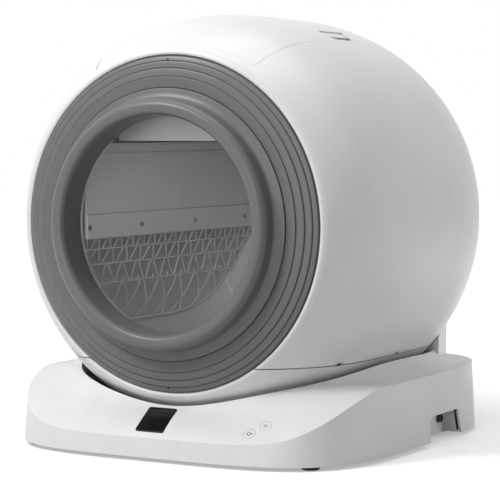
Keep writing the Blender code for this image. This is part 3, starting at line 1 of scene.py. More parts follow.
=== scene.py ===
# %% [markdown]
# # A self cleaning litter box, piece by piece
# The real object is a white plastic globe that lies on a low base. A cat walks in through a grey
# collar. A drum turns inside the globe, and a sifting screen in the drum throws the waste into a
# bin at its top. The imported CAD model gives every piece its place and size. These cells dress it:
# each step says what a piece is, how it could be made, and why it is made this way.

import math

import bmesh
import bpy
import numpy as np
from mathutils import Matrix, Vector


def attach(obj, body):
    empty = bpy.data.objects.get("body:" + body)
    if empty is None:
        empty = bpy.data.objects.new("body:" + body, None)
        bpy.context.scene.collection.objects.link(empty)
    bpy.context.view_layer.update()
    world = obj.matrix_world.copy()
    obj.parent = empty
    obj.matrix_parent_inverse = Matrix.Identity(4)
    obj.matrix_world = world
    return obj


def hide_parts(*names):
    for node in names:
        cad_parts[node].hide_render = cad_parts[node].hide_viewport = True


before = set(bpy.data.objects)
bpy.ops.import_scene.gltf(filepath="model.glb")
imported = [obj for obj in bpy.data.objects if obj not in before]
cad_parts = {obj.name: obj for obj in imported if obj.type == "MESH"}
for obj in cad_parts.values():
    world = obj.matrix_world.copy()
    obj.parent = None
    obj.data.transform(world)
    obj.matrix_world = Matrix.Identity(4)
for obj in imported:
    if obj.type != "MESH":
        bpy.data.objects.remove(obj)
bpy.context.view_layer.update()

# %% [markdown]
# ## Measures
# All sizes are in millimetres. A depth runs backwards from the collar's outer edge, and a rise runs
# upwards from the axis on which the drum turns. One function takes such points to the object's own
# frame in metres, so that the numbers here can be read off a drawing.

# %% Where the drawing's zero is
AXIS_HEIGHT = 277.0
COLLAR_SETBACK = 209.5
MM = 0.001


def to_frame(points):
    """Shifts (x, depth, rise) in mm to the object's frame in metres: less setback, plus axis height."""
    return (np.asarray(points, float) + (0.0, -COLLAR_SETBACK, AXIS_HEIGHT)) * MM


print("collar edge in the frame:", to_frame([0, 0, 200]))

# %% [markdown]
# ## From arrays to a mesh
# Blender can build a surface from primitives and modifiers, from curves, or from plain arrays of
# points. Arrays are chosen here, because every shell of this object is a function of an angle and
# a depth. A grid of points gives the corners, and the same index array, shifted by one, gives the
# four corners of every face at once.

# %% A grid of points as faces
MERGE = 0.005


def grid_faces(rows, cols, wrap_rows=False, wrap_cols=False):
    """Corner numbers of each cell: (i, j), (i+1, j), (i+1, j+1), (i, j+1), round again where it wraps."""
    index = np.arange(rows * cols).reshape(rows, cols)
    if wrap_rows:
        index = np.vstack([index, index[:1]])
    if wrap_cols:
        index = np.hstack([index, index[:, :1]])
    return np.stack([index[:-1, :-1], index[1:, :-1], index[1:, 1:], index[:-1, 1:]], axis=-1)


def raw_mesh(name, points, faces):
    """Puts points in mm and faces into a new mesh, merges doubles and points its faces outwards."""
    mesh = bpy.data.meshes.new(name)
    mesh.from_pydata(to_frame(points).reshape(-1, 3), [], np.asarray(faces).reshape(-1, 4).tolist())
    shape = bmesh.new()
    shape.from_mesh(mesh)
    bmesh.ops.remove_doubles(shape, verts=shape.verts, dist=MERGE * MM)
    bmesh.ops.delete(shape, geom=[v for v in shape.verts if not v.link_faces], context="VERTS")
    bmesh.ops.recalc_face_normals(shape, faces=shape.faces)
    shape.to_mesh(mesh)
    shape.free()
    return mesh


print("cells in a 3 by 4 grid:", grid_faces(3, 4).shape[0] * grid_faces(3, 4).shape[1])

# %% [markdown]
# A moulded wall has two sides and an edge all round, also round each window in it. Solidify could
# give it the thickness, but at a sharp lip it folds over itself. So both sides are worked out, the
# cells that a window removes are left out of both, and each edge that only one cell still uses gets
# a small face that joins the two sides.

# %% A wall between two surfaces
def wall_mesh(name, outer, inner, keep=None, wrap=False):
    """Cells of the outer grid, the same cells of the inner grid, and a face along every open edge."""
    rows, cols = outer.shape[:2]
    cells = grid_faces(rows, cols, wrap_cols=wrap)
    cells = cells[keep] if keep is not None else cells.reshape(-1, 4)
    count = rows * cols
    start = cells.ravel()
    end = np.roll(cells, -1, axis=1).ravel()
    lone = ~np.isin(start * count + end, end * count + start)
    a, b = start[lone], end[lone]
    edge = np.stack([b, a, a + count, b + count], axis=-1)
    points = np.vstack([outer.reshape(-1, 3), inner.reshape(-1, 3)])
    return raw_mesh(name, points, np.vstack([cells, cells[:, ::-1] + count, edge]))


# %% [markdown]
# ## Finishing a piece
# Every moulded edge has a small radius, and it is this radius that catches the light. A Bevel
# modifier rounds the edges that are sharper than a given angle. The result is baked into the mesh
# itself, and the piece is told which CAD body it rides on.

# %% Objects, edges and bodies
def bake(made):
    """Replaces a piece's mesh by what its modifiers make of it."""
    bpy.context.view_layer.update()
    graph = bpy.context.evaluated_depsgraph_get()
    mesh = bpy.data.meshes.new_from_object(made.evaluated_get(graph))
    made.modifiers.clear()
    made.data = mesh


def show(name, mesh, material, body, stands_for=(), bevel=0.0, segments=2, angle=40):
    """Makes a mesh a finished piece: smooth faces, rounded edges, a material and a body to ride on."""
    made = bpy.data.objects.new(name, mesh)
    bpy.context.scene.collection.objects.link(made)
    mesh.shade_smooth()
    mesh.set_sharp_from_angle(angle=math.radians(angle))
    if bevel:
        rounding = made.modifiers.new("edges", "BEVEL")
        rounding.width = bevel * MM
        rounding.segments = segments
        rounding.limit_method = "ANGLE"
        rounding.angle_limit = math.radians(angle)
        rounding.harden_normals = True
        rounding.use_clamp_overlap = True
        bake(made)
    made.data.materials.clear()
    made.data.materials.append(material)
    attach(made, body)
    if stands_for:
        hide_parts(*stands_for)
    print(name, "faces:", len(made.data.polygons))


def cut(mesh, cutters, solver="EXACT"):
    """A mesh with the cutter meshes taken out of it."""
    made = bpy.data.objects.new("cutting", mesh)
    bpy.context.scene.collection.objects.link(made)
    tools = []
    for cutter in cutters:
        tool = bpy.data.objects.new("tool", cutter)
        bpy.context.scene.collection.objects.link(tool)
        tools.append(tool)
        step = made.modifiers.new("cut", "BOOLEAN")
        step.operation = "DIFFERENCE"
        step.solver = solver
        step.object = tool
    bake(made)
    mesh = made.data
    for item in (made, *tools):
        bpy.data.objects.remove(item, do_unlink=True)
    return mesh


# %% [markdown]
# ## Profiles
# Collar, lip and drum are turned shapes. Their profiles are drawn as a few corners, the way a mould
# maker dimensions them, and each corner is then rounded by a short curve.

# %% Rounded corners and turned shapes
def rounded(corners, closed=True, steps=5):
    """Each (a, b, radius) corner P becomes (1-t)^2 A + 2t(1-t) P + t^2 C, with A and C a radius away."""
    corners = np.asarray(corners, float)
    middle, radius = corners[:, :2], corners[:, 2:3]
    before, after = np.roll(middle, 1, axis=0), np.roll(middle, -1, axis=0)
    to_before, to_after = before - middle, after - middle
    long_before = np.linalg.norm(to_before, axis=1, keepdims=True) + 1e-9
    long_after = np.linalg.norm(to_after, axis=1, keepdims=True) + 1e-9
    reach = np.minimum(radius, 0.49 * np.minimum(long_before, long_after))
    if not closed:
        reach[0] = reach[-1] = 0
    a = (middle + to_before / long_before * reach)[:, None]
    c = (middle + to_after / long_after * reach)[:, None]
    t = np.linspace(0, 1, steps)[None, :, None]
    curve = ((1 - t) ** 2 * a + 2 * t * (1 - t) * middle[:, None] + t**2 * c).reshape(-1, 2)
    keep = np.ones(len(curve), bool)
    keep[1:] = np.linalg.norm(np.diff(curve, axis=0), axis=1) > 1e-4
    return curve[keep]


def turned_points(profile, steps):
    """Point (r sin a, depth, r cos a) for each (r, depth) of the profile and each of the equal angles a."""
    angle = np.linspace(0, math.tau, steps, endpoint=False)[:, None]
    radius, depth = profile[:, 0][None], profile[:, 1][None]
    return np.stack([radius * np.sin(angle), depth + 0 * angle, radius * np.cos(angle)], axis=-1)


def turned_mesh(name, profile, steps=256, closed=True):
    """A profile turned about the drum's axis; a profile that ends on the axis closes there."""
    points = turned_points(profile, steps)
    return raw_mesh(name, points, grid_faces(steps, len(profile), wrap_rows=True, wrap_cols=closed))


def box_mesh(name, low, high):
    """The box between two (x, depth, rise) corners: a 2 by 4 grid of its corners, closed at both ends."""
    (x0, y0, z0), (x1, y1, z1) = low, high
    ring = np.array([(x0, y0), (x1, y0), (x1, y1), (x0, y1)], float)
    points = np.concatenate([np.c_[ring, np.full(4, z0)], np.c_[ring, np.full(4, z1)]])
    faces = [(0, 1, 2, 3), (7, 6, 5, 4), (0, 4, 5, 1), (1, 5, 6, 2), (2, 6, 7, 3), (3, 7, 4, 0)]
    return raw_mesh(name, points, faces)


def prism_mesh(name, outline, low, high, lift=None):
    """An (x, depth) outline between two rises: two rings joined by a wall and each closed by one face."""
    outline = np.asarray(outline, float)
    count = len(outline)
    rings = np.stack([np.c_[outline, np.full(count, low)], np.c_[outline, np.full(count, high)]])
    mesh = bpy.data.meshes.new(name)
    walls = grid_faces(2, count, wrap_cols=True).reshape(-1, 4).tolist()
    caps = [list(range(count))[::-1], list(range(count, 2 * count))]
    points = rings.reshape(-1, 3)
    points = to_frame(points) if lift is None else lift(points)
    mesh.from_pydata(points, [], walls + caps)
    shape = bmesh.new()
    shape.from_mesh(mesh)
    bmesh.ops.recalc_face_normals(shape, faces=shape.faces)
    shape.to_mesh(mesh)
    shape.free()
    return mesh


# %% [markdown]
# ## Colours and nodes
# Colours are written as sRGB hex values, as a colour picker shows them, and one function turns them
# to the linear values that the shader works in. One more function adds any node with its settings
# and its links, which keeps each material's recipe short enough to read.

# %% Two small helpers for every material
def linear(code):
    """sRGB to linear: c/12.92 below 0.04045, ((c+0.055)/1.055)^2.4 above."""
    value = np.array([int(code[i : i + 2], 16) for i in (0, 2, 4)]) / 255
    return (*np.where(value < 0.04045, value / 12.92, ((value + 0.055) / 1.055) ** 2.4), 1.0)


def add(tree, kind, settings=None, **inputs):
    """Adds a node; sockets are linked, and values set. Inputs go by name, or as i0, i1 by number."""
    made = tree.nodes.new("ShaderNode" + kind)
    for key, value in (settings or {}).items():
        setattr(made, key, value)
    for key, value in inputs.items():
        by_number = key[0] == "i" and key[1:].isdigit()
        socket = made.inputs[int(key[1:]) if by_number else key.replace("_", " ")]
        if isinstance(value, bpy.types.NodeSocket):
            tree.links.new(value, socket)
        else:
            socket.default_value = value
    return made


def new_material(name):
    """An empty node tree with its output."""
    made = bpy.data.materials.new(name)
    made.use_nodes = True
    made.node_tree.nodes.clear()
    return made, made.node_tree, made.node_tree.nodes.new("ShaderNodeOutputMaterial")


# %% [markdown]
# ## Moulded plastics
# The shells are ABS, moulded in a steel tool. ABS has an IOR of about 1.54 and no metallic part. A
# polished tool leaves a soft gloss with a faint waviness over some 30 to 60 mm, where the wall
# shrank. A spark eroded tool leaves a fine grain of some 0.3 mm, drawn a little coarser here so
# that it shows. A new machine has almost no wear, only a slight unevenness in its gloss.

# %% A recipe for a moulded plastic
WAVE_HEIGHT, GLOSS_SPREAD, ABS_IOR = 0.05, 0.05, 1.54


def moulded(name, colour, shade, roughness, grain=1.2, grain_height=0.02, wave=45.0, specular=0.5):
    """Mixes two close colours by a broad noise; fine grain and broad wave, in mm, bump the surface."""
    made, tree, out = new_material(name)
    place = add(tree, "TexCoord").outputs["Object"]
    broad = add(tree, "TexNoise", Vector=place, Scale=1 / (wave * MM), Detail=2.0, Roughness=0.5)
    fine = add(tree, "TexNoise", Vector=place, Scale=1 / (grain * MM), Detail=3.0, Roughness=0.6)
    tint = add(tree, "Mix", {"data_type": "RGBA"}, Factor=broad.outputs["Fac"])
    # Mix has an A and a B for each data type; those for a colour are inputs 6 and 7
    tint.inputs[6].default_value = linear(colour)
    tint.inputs[7].default_value = linear(shade)
    gloss = add(
        tree, "MapRange", Value=fine.outputs["Fac"],
        To_Min=roughness - GLOSS_SPREAD, To_Max=roughness + GLOSS_SPREAD,
    )
    waves = add(tree, "Bump", Height=broad.outputs["Fac"], Strength=1.0, Distance=WAVE_HEIGHT * MM)
    grains = add(
        tree, "Bump", Height=fine.outputs["Fac"], Normal=waves.outputs["Normal"], Strength=1.0,
        Distance=grain_height * MM,
    )
    skin = add(
        tree, "BsdfPrincipled", Base_Color=tint.outputs[2], Roughness=gloss.outputs["Result"],
        Normal=grains.outputs["Normal"], IOR=ABS_IOR, Specular_IOR_Level=specular,
    )
    tree.links.new(skin.outputs["BSDF"], out.inputs["Surface"])
    return made


# the globe: nearly white, with the soft gloss of a polished tool
WHITE_ABS = moulded("white_abs_polished", "EDEDEC", "E6E6E5", 0.34)
# the base: painted a little lighter than the globe's white, to stand in for the light that the white floor
# throws up onto it; a little more matt and with a finer grain
BASE_ABS_PAINTED_BOUNCE = moulded("white_abs_base_painted_bounce", "F1F1F0", "E4E4E3", 0.42, grain=0.9, grain_height=0.03)
# collar and lip: mid grey, with weak reflections
GREY_ABS = moulded("grey_abs_trim", "767677", "6F6F70", 0.33, grain=1.0, wave=30.0, specular=0.25)
# drum and bin: milky polypropylene, matt, so that the inside looks soft
DRUM_PP = moulded("pale_grey_polypropylene_drum", "EDEDEC", "E6E6E5", 0.5, grain=0.8, grain_height=0.04)
BIN_PP = moulded("pale_grey_polypropylene_bin", "E6E6E5", "DFDFDE", 0.5, grain=0.8, grain_height=0.04)
# pocket, cradle and jack: nearly black
DARK_ABS = moulded("charcoal_abs", "2A2A2B", "242425", 0.45)
# gears: warm white acetal, waxy to the eye
GEAR_POM = moulded("white_acetal_gear", "E0DED6", "D6D4CC", 0.38, grain=0.6)
print("plastics made:", len(bpy.data.materials))

# %% [markdown]
# ## Rubber, steel, display glass and circuit board
# Feet and roller tyres are rubber: dark, matt and slightly grainy. Axles and screws are steel with
# fine turning marks, which a stretched noise draws. The display is black acrylic with a high gloss.

# %% The other materials
MARK_SPREAD = 0.08


def streaked(name, colour, shade, metallic, roughness, stretch, scale, height):
    """Noise stretched along one axis mixes two colours and bumps the surface, as turning marks do."""
    made, tree, out = new_material(name)
    place = add(tree, "TexCoord").outputs["Object"]
    turn = add(tree, "Mapping", Vector=place, Scale=stretch)
    marks = add(tree, "TexNoise", Vector=turn.outputs["Vector"], Scale=scale, Detail=4.0, Roughness=0.6)
    tint = add(tree, "Mix", {"data_type": "RGBA"}, Factor=marks.outputs["Fac"])
    tint.inputs[6].default_value = linear(colour)
    tint.inputs[7].default_value = linear(shade)
    gloss = add(
        tree, "MapRange", Value=marks.outputs["Fac"],
        To_Min=roughness - MARK_SPREAD, To_Max=roughness + MARK_SPREAD,
    )
    bump = add(tree, "Bump", Height=marks.outputs["Fac"], Strength=1.0, Distance=height * MM)
    skin = add(
        tree, "BsdfPrincipled", Base_Color=tint.outputs[2], Metallic=metallic,
        Roughness=gloss.outputs["Result"], Normal=bump.outputs["Normal"],
    )
    tree.links.new(skin.outputs["BSDF"], out.inputs["Surface"])
    return made


EVEN = (1.0, 1.0, 1.0)
STEEL = streaked("turned_steel", "B9BABC", "A5A6A8", 1.0, 0.3, (1.0, 0.08, 1.0), 900.0, 0.01)
RUBBER = streaked("black_rubber", "2B2B2B", "1F1F1F", 0.0, 0.75, EVEN, 700.0, 0.06)
ACRYLIC = streaked("black_acrylic", "0A0A0B", "070708", 0.0, 0.14, EVEN, 60.0, 0.002)
BOARD = streaked("green_circuit_board", "1F5A34", "18492A", 0.0, 0.4, (1.0, 0.15, 1.0), 300.0, 0.02)
print("materials made:", len(bpy.data.materials))

# %% [markdown]
# ## Camera and light
# The photograph is a studio shot with a long lens, from the right and slightly above. The lens and
# the place were found from the collar's circles and the base's edges. Four soft lamps and a pale
# world light it. The main lamp stands above and a little left, so that the right flank falls off.
# The rear one lifts the globe's right edge, and gloss doesn't mirror it, because the photograph
# shows no spot there. A small weak lamp in the drum stands for the light that many bounces would
# bring in. The white background is only what the camera and glossy rays see of floor and world: for
# all other rays the floor is a plain grey, so that it doesn't flood the object from below.

# %% Camera
lens = bpy.data.cameras.new("camera")
FOCAL_PIXELS, PHOTO_WIDTH, SENSOR = 1952.5, 500, 36
lens.lens = FOCAL_PIXELS * SENSOR / PHOTO_WIDTH
lens.sensor_width = SENSOR
lens.clip_end = 20
camera = bpy.data.objects.new("camera", lens)
camera.location = (1.2197, -2.1795, 0.3888)
camera.rotation_euler = (math.radians(86.71), 0, math.radians(29.39))
bpy.context.scene.collection.objects.link(camera)
bpy.context.scene.camera = camera
bpy.context.scene.view_settings.view_transform = "Standard"
print("lens mm:", round(lens.lens, 1))


# %% Lamps, world and floor
def soft_lamp(name, place, aim, size, power, mirrored=True):
    """A square area lamp that looks from its place at a point; gloss shows it where it is mirrored."""
    data = bpy.data.lights.new(name, "AREA")
    data.size = size
    data.energy = power
    made = bpy.data.objects.new(name, data)
    made.location = place
    made.rotation_euler = (Vector(aim) - Vector(place)).to_track_quat("-Z", "Y").to_euler()
    made.visible_camera = False
    made.visible_glossy = mirrored
    bpy.context.scene.collection.objects.link(made)


soft_lamp("main_lamp", (-1.2, -1.9, 2.35), (0, 0, 0.25), 1.0, 60)
soft_lamp("top_lamp", (0.1, 0.3, 3.0), (0, 0, 0.25), 2.0, 25)
soft_lamp("front_lamp", (0.5, -3.0, 0.9), (0, 0, 0.2), 1.6, 22)
soft_lamp("rear_lamp", (2.4, 1.4, 0.5), (0, 0, 0.25), 1.4, 22, mirrored=False)
soft_lamp("drum_lamp", (0.13, -0.12, 0.33), (-0.1, 0.02, 0.2), 0.1, 0.03)


def seen_white(tree):
    """One for rays from the camera and for glossy and transmitted ones, and zero for all others."""
    path = add(tree, "LightPath").outputs
    larger = {"operation": "MAXIMUM"}
    either = add(tree, "Math", larger, i0=path["Is Camera Ray"], i1=path["Is Glossy Ray"])
    return add(tree, "Math", larger, i0=either.outputs[0], i1=path["Is Transmission Ray"]).outputs[0]


world = bpy.data.worlds.new("studio")
world.use_nodes = True
tree = world.node_tree
tree.nodes.clear()
plain = add(tree, "Background", Color=(1, 1, 1, 1), Strength=0.1)
white = add(tree, "Background", Color=(1, 1, 1, 1), Strength=1.0)
mix = add(tree, "MixShader", i0=seen_white(tree), i1=plain.outputs[0], i2=white.outputs[0])
out = tree.nodes.new("ShaderNodeOutputWorld")
tree.links.new(mix.outputs[0], out.inputs["Surface"])
bpy.context.scene.world = world

floor_material, tree, out = new_material("pale_floor")
lit = add(tree, "BsdfDiffuse", Color=linear("FCFCFC"))
place = add(tree, "TexCoord").outputs["Object"]
away = add(tree, "VectorMath", {"operation": "LENGTH"}, i0=place)
# the floor glows to white away from the object, and keeps the object's shadow near it
FLOOR_NEAR, FLOOR_FAR, GLOW_NEAR, GLOW_FAR = 0.35, 0.9, 0.35, 1.0
rising = add(
    tree, "MapRange", Value=away.outputs["Value"], From_Min=FLOOR_NEAR, From_Max=FLOOR_FAR,
    To_Min=GLOW_NEAR, To_Max=GLOW_FAR,
)
glow = add(tree, "Emission", Color=(1, 1, 1, 1), Strength=rising.outputs["Result"])
both = add(tree, "AddShader", i0=lit.outputs[0], i1=glow.outputs[0])
dim = add(tree, "BsdfDiffuse", Color=linear("A6A6A6"))
mix = add(tree, "MixShader", i0=seen_white(tree), i1=dim.outputs[0], i2=both.outputs[0])
tree.links.new(mix.outputs[0], out.inputs["Surface"])
floor_mesh = bpy.data.meshes.new("floor")
half = 8.0
corners = [(-half, -half, 0), (half, -half, 0), (half, half, 0), (-half, half, 0)]
floor_mesh.from_pydata(corners, [], [(0, 1, 2, 3)])
floor = bpy.data.objects.new("floor", floor_mesh)
floor_mesh.materials.append(floor_material)
bpy.context.scene.collection.objects.link(floor)
print("lamps:", len(bpy.data.lights), "floor width in m:", 2 * half)

# %% [markdown]
# ## The globe
# The fixed globe is one curve turned about the drum's axis. It swells fast behind its mouth, is
# widest at half its depth and rounds off to a flat back. A sphere primitive would miss that swell,
# so the radius is a function of depth, and every shell of the globe takes its points from it.

# %% The globe's curve
GLOBE, MOUTH, WAIST, TAIL = 255.8, 207.0, 244.0, 243.0
WALL, SEAM, SEAM_DROP = 3.0, 0.6, 165.0
COVER_REAR, BACK, LID_ANGLE = 390.0, 465.0, math.radians(30.4)
FRONT_BEND, REAR_BEND = 4.5, 2.86
LID_FRONT, LID_REAR, LID_GAP, LOW_SEAM = 10.0, 372.0, 0.3, 1.2


def globe_radius(depth):
    """Full radius less a swell that dies away as the 4.5th power, then a superellipse of power 2.86."""
    depth = np.asarray(depth, float)
    front = GLOBE - (GLOBE - MOUTH) * np.clip(1 - depth / WAIST, 0, 1) ** FRONT_BEND
    share = np.clip((depth - WAIST) / TAIL, 0, 1)
    return np.where(depth < WAIST, front, GLOBE * (1 - share**REAR_BEND) ** (1 / REAR_BEND))


def between(start, stop, step):
    """Values from start to stop, both kept, about a step apart."""
    return np.linspace(start, stop, max(2, int(math.ceil((stop - start) / step)) + 1))


def joined(*parts):
    """Runs of values joined, without the doubles where they meet."""
    values = np.concatenate(parts)
    return values[np.r_[True, np.diff(values) > 1e-6]]


print("globe radius at depths 0, 100, 244, 400:", globe_radius([0, 100, 244, 400]).round(1))

# %% [markdown]
# The front edge of the shell stands a few millimetres proud around the collar and leaves a narrow
# dark gap there. Its path starts behind the collar, comes forward round that edge and then follows
# the globe's curve. Outer and inner paths have the same number of points, which makes the wall.

# %% The path of the shell's wall
EDGE_INNER, EDGE_FRONT, EDGE_REAR, CURVED_TO = 188, 3, 7, 40
lip_out = rounded([
    (EDGE_INNER, 4, 0), (201.2, 4, 0.3), (201.6, 0.5, 0.8), (204.6, -0.2, 0.9),
    (globe_radius(EDGE_FRONT), EDGE_FRONT, 0),
], closed=False)
edge = LID_FRONT - LID_GAP
body_depths = joined(
    between(EDGE_FRONT, edge, 2.0), between(edge, CURVED_TO, 3.0), between(CURVED_TO, COVER_REAR, 4.0),
)
body_depths = np.unique(np.r_[body_depths, LID_REAR + SEAM].round(4))
outer_path = np.vstack([lip_out[:-1], np.c_[globe_radius(body_depths), body_depths]])
lip_in = np.linspace((EDGE_INNER, EDGE_REAR), (203.0, EDGE_REAR), len(lip_out) - 1)
inner_depths = np.maximum(body_depths, EDGE_REAR)
inner_path = np.vstack([lip_in, np.c_[globe_radius(inner_depths) - WALL, inner_depths]])
print("points along the wall:", len(outer_path), len(inner_path))

# %% [markdown]
# The seam between cover and lower shell is a level line. Where it meets the globe is an angle that
# changes with the radius, so the grid's last column is put exactly on that angle. Two small notches
# in the cover's edge, where a tool lifts it, are rows whose angle is a little smaller.

# %% Cover and lower shell
NOTCHES, NOTCH_WIDTH, NOTCH_RISE, HINGE_GAP = (83.0, 216.0), 9.0, 4.0, 1.9


def seam_angle(radius, rise):
    """The angle from straight up at which a circle of a radius crosses a level: arccos(rise / radius)."""
    return np.arccos(np.clip(rise / radius, -1, 1))


def shell_points(path, low, high, split, counts):
    """Angles from low to high of each row, with fixed columns at the split angles, about the axis."""
    columns = []
    edges = [low, *[np.full(len(path), s) for s in split], high]
    for a, b, count in zip(edges, edges[1:], counts):
        t = np.linspace(0, 1, count)
        columns.append((a[:, None] + (b - a)[:, None] * t)[:, (0 if not columns else 1):])
    angle = np.hstack(columns)
    radius, depth = path[:, :1], path[:, 1:]
    return np.stack([radius * np.sin(angle), depth + 0 * angle, radius * np.cos(angle)], axis=-1)


split = (-LID_ANGLE - HINGE_GAP / GLOBE, LID_ANGLE + LID_GAP / GLOBE)
columns = (72, 44, 72)
bump = sum(np.clip(1 - (np.abs(outer_path[:, 1] - d) / (NOTCH_WIDTH / 2)) ** 4, 0, 1) for d in NOTCHES)
rise = -SEAM_DROP + NOTCH_RISE * bump
reach = seam_angle(outer_path[:, 0], rise)
reach_in = seam_angle(inner_path[:, 0], rise)
outer = shell_points(outer_path, -reach, reach, split, columns)
inner = shell_points(inner_path, -reach_in, reach_in, split, columns)
angles = np.arctan2(outer[..., 0], outer[..., 2])
cell_angle = (angles[1:, 1:] + angles[:-1, :-1]) / 2
cell_depth = (outer[1:, 1:, 1] + outer[:-1, :-1, 1]) / 2
cell_radius = (outer_path[1:, 0] + outer_path[:-1, 0])[:, None] / 2
window = (cell_angle > split[0]) & (cell_angle < split[1]) & (cell_radius > 206)
window &= (cell_depth > LID_FRONT - LID_GAP) & (cell_depth < LID_REAR + SEAM)
cover = wall_mesh("upper_cover_shell", outer, inner, ~window)
show("upper_cover_shell", cover, WHITE_ABS, "base", ["upper_cover"], bevel=0.25)

low = -seam_angle(outer_path[:, 0], -SEAM_DROP - LOW_SEAM) + math.tau
low_in = -seam_angle(inner_path[:, 0], -SEAM_DROP - LOW_SEAM) + math.tau
outer = shell_points(outer_path, math.tau - low, low, (), (60,))
inner = shell_points(inner_path, math.tau - low_in, low_in, (), (60,))
bowl = wall_mesh("lower_shell_moulding", outer, inner)
show("lower_shell_moulding", bowl, WHITE_ABS, "base", ["lower_shell"], bevel=0.4)


# %% [markdown]
# The rear cover closes the globe's tail. Its profile ends on the axis at both ends, so that the
# turned shape closes there by itself. A window under the axis lets the drive pinion reach the drum.

# %% Rear cover
PINION_LOW, PINION_HIGH = (-38, 404.4, -256), (38, 423, -186)


def pinion_window():
    """The box through which the pinion reaches the ring gear."""
    return box_mesh("window", PINION_LOW, PINION_HIGH)


tail_depths = between(COVER_REAR + SEAM, BACK - 8, 3.0)
outside = np.c_[globe_radius(tail_depths), tail_depths, np.zeros(len(tail_depths))]
inside = outside[::-1] - (WALL, 0, 0)
flat = globe_radius(BACK) - 1
profile = np.vstack([
    [(0, BACK - WALL, 0), (flat - 2 * WALL, BACK - WALL, 4)], inside, outside,
    [(flat + 2.5, BACK - 1.5, 3), (flat - 4, BACK, 4), (0, BACK, 0)],
])
rear = turned_mesh("rear_cover_shell", rounded(profile, closed=False), 240, closed=False)
rear = cut(rear, [pinion_window()])
show("rear_cover_shell", rear, WHITE_ABS, "base", ["rear_cover"], bevel=0.4)

# %% [markdown]
# ## The lid and its latch
# The lid is a piece of the same curve, so it lies flush. Its recess is straight at the top and
# round at the bottom, which leaves a dark finger pocket under the white paddle. The recess is cut
# by a prism that stands on the globe's flank, along the radius at the recess's middle.

# %% Lid
LATCH_ANGLE, LATCH_DEPTH = math.radians(26.2), 219.0


def on_flank(points):
    """(along the tangent, backwards, outwards) from the latch's place, in the object's frame."""
    along, back, outwards = np.asarray(points, float).T
    radius = GLOBE + outwards
    x = radius * math.sin(LATCH_ANGLE) + along * math.cos(LATCH_ANGLE)
    rise = radius * math.cos(LATCH_ANGLE) - along * math.sin(LATCH_ANGLE)
    return to_frame(np.c_[x, LATCH_DEPTH + back, rise])


lid_rows = joined(between(LID_FRONT, CURVED_TO, 2.5), between(CURVED_TO, LID_REAR, 4.0))
lid_path = np.c_[globe_radius(lid_rows), lid_rows]
edge = np.full(len(lid_rows), LID_ANGLE)
outer = shell_points(lid_path, -edge, edge, (), (44,))
inner = shell_points(lid_path - (WALL, 0), -edge, edge, (), (44,))
lid = wall_mesh("lid", outer, inner)
recess = rounded([(-13, -32, 3), (12.3, -32, 22), (12.3, 32, 12), (-13, 32, 3)], steps=9)
lid = cut(lid, [prism_mesh("recess", recess, -14, 8, lift=on_flank)])
show("top_lid_shell", lid, WHITE_ABS, "top_lid", ["top_lid"], bevel=0.25)
paddle = rounded([(-11.4, -27, 2), (1.2, -27, 2), (1.2, 28, 2), (-11.4, 28, 2)], steps=5)
paddle = prism_mesh("paddle", paddle, -4.5, -1.5, lift=on_flank)
show("latch_paddle_moulding", paddle, WHITE_ABS, "latch", ["latch_paddle"], bevel=0.6)

# %% [markdown]
# ## Collar and lip
# The collar is terraced: each ring stands a little further forward than the one outside it, its
# step catches the light as a thin line, and a groove lies at its root. Two small rubber plugs sit in
# the outermost ring. The lip inside the collar is a hollow roll with a broad round front.

# %% Collar ring and entry lip
collar = rounded([
    (201.0, 3.7, 0.1), (201.0, 3.4, 0.1), (199.7, 3.4, 0.2), (199.5, -0.9, 1.0), (194.4, -2.6, 0.2),
    (194.3, -1.7, 0.2), (193.6, -1.7, 0.2), (193.4, -4.4, 1.7), (185.9, -5.8, 0.2), (185.8, -4.9, 0.2),
    (185.1, -4.9, 0.2), (184.9, -7.6, 1.7), (176.1, -9.2, 0.2), (176.0, -8.3, 0.2), (175.3, -8.3, 0.2),
    (175.1, -11.1, 1.7), (162.9, -9.4, 0.2), (162.8, -8.5, 0.2), (162.2, -8.5, 0.2), (162.2, 3.7, 0.3),
])
collar = turned_mesh("collar_rings", collar, 288)
show("collar_rings", collar, GREY_ABS, "base", ["collar_ring"], angle=50)
PLUG_RADIUS, PLUG_REAR, PLUG_FRONT, PLUG_RISE = 1.5, -1.6, -2.75, 195.2
for name, rise in (("upper", PLUG_RISE), ("lower", -PLUG_RISE)):
    plug = rounded([
        (0, PLUG_REAR, 0), (PLUG_RADIUS, PLUG_REAR, 0), (PLUG_RADIUS, PLUG_FRONT, 0.3), (0, PLUG_FRONT, 0),
    ])
    plug = turned_mesh("plug", plug, 24, closed=False)
    plug.transform(Matrix.Translation((0, 0, rise * MM)))
    show(f"collar_{name}_plug", plug, RUBBER, "base")
lip = rounded([
    (161.8, 3.7, 0.3), (161.8, -11.1, 0.8), (154.6, -12.6, 4), (149.6, -15.0, 5), (148.3, -31.5, 5),
    (144.6, -36.4, 5), (138.5, -37.7, 6), (132.4, -35.9, 5), (129.9, -31.3, 1.2), (128.2, 1.9, 0.5),
    (131.2, 1.9, 0.5), (132.9, -30.0, 3), (138.5, -34.5, 5), (144.8, -31.0, 5), (146.6, -12.0, 5),
    (158.8, -8.0, 1), (158.8, 3.7, 0.3),
], steps=7)
lip = turned_mesh("entry_lip_roll", lip, 288)
show("entry_lip_roll", lip, GREY_ABS, "base", ["entry_lip"])

# %% [markdown]
# ## The drum
# The drum follows the globe at a steady distance. It has a flat track for each pair of rollers and a
# step that carries the ring gear. Its top is open, and the waste bin hangs in that window.

# %% Drum
DRUM_GAP, DRUM_WALL, BIN_FLOOR = 36.0, 3.0, 99.0


def drum_radius(depth):
    """The globe's radius less the gap between drum and globe."""
    return globe_radius(depth) - DRUM_GAP


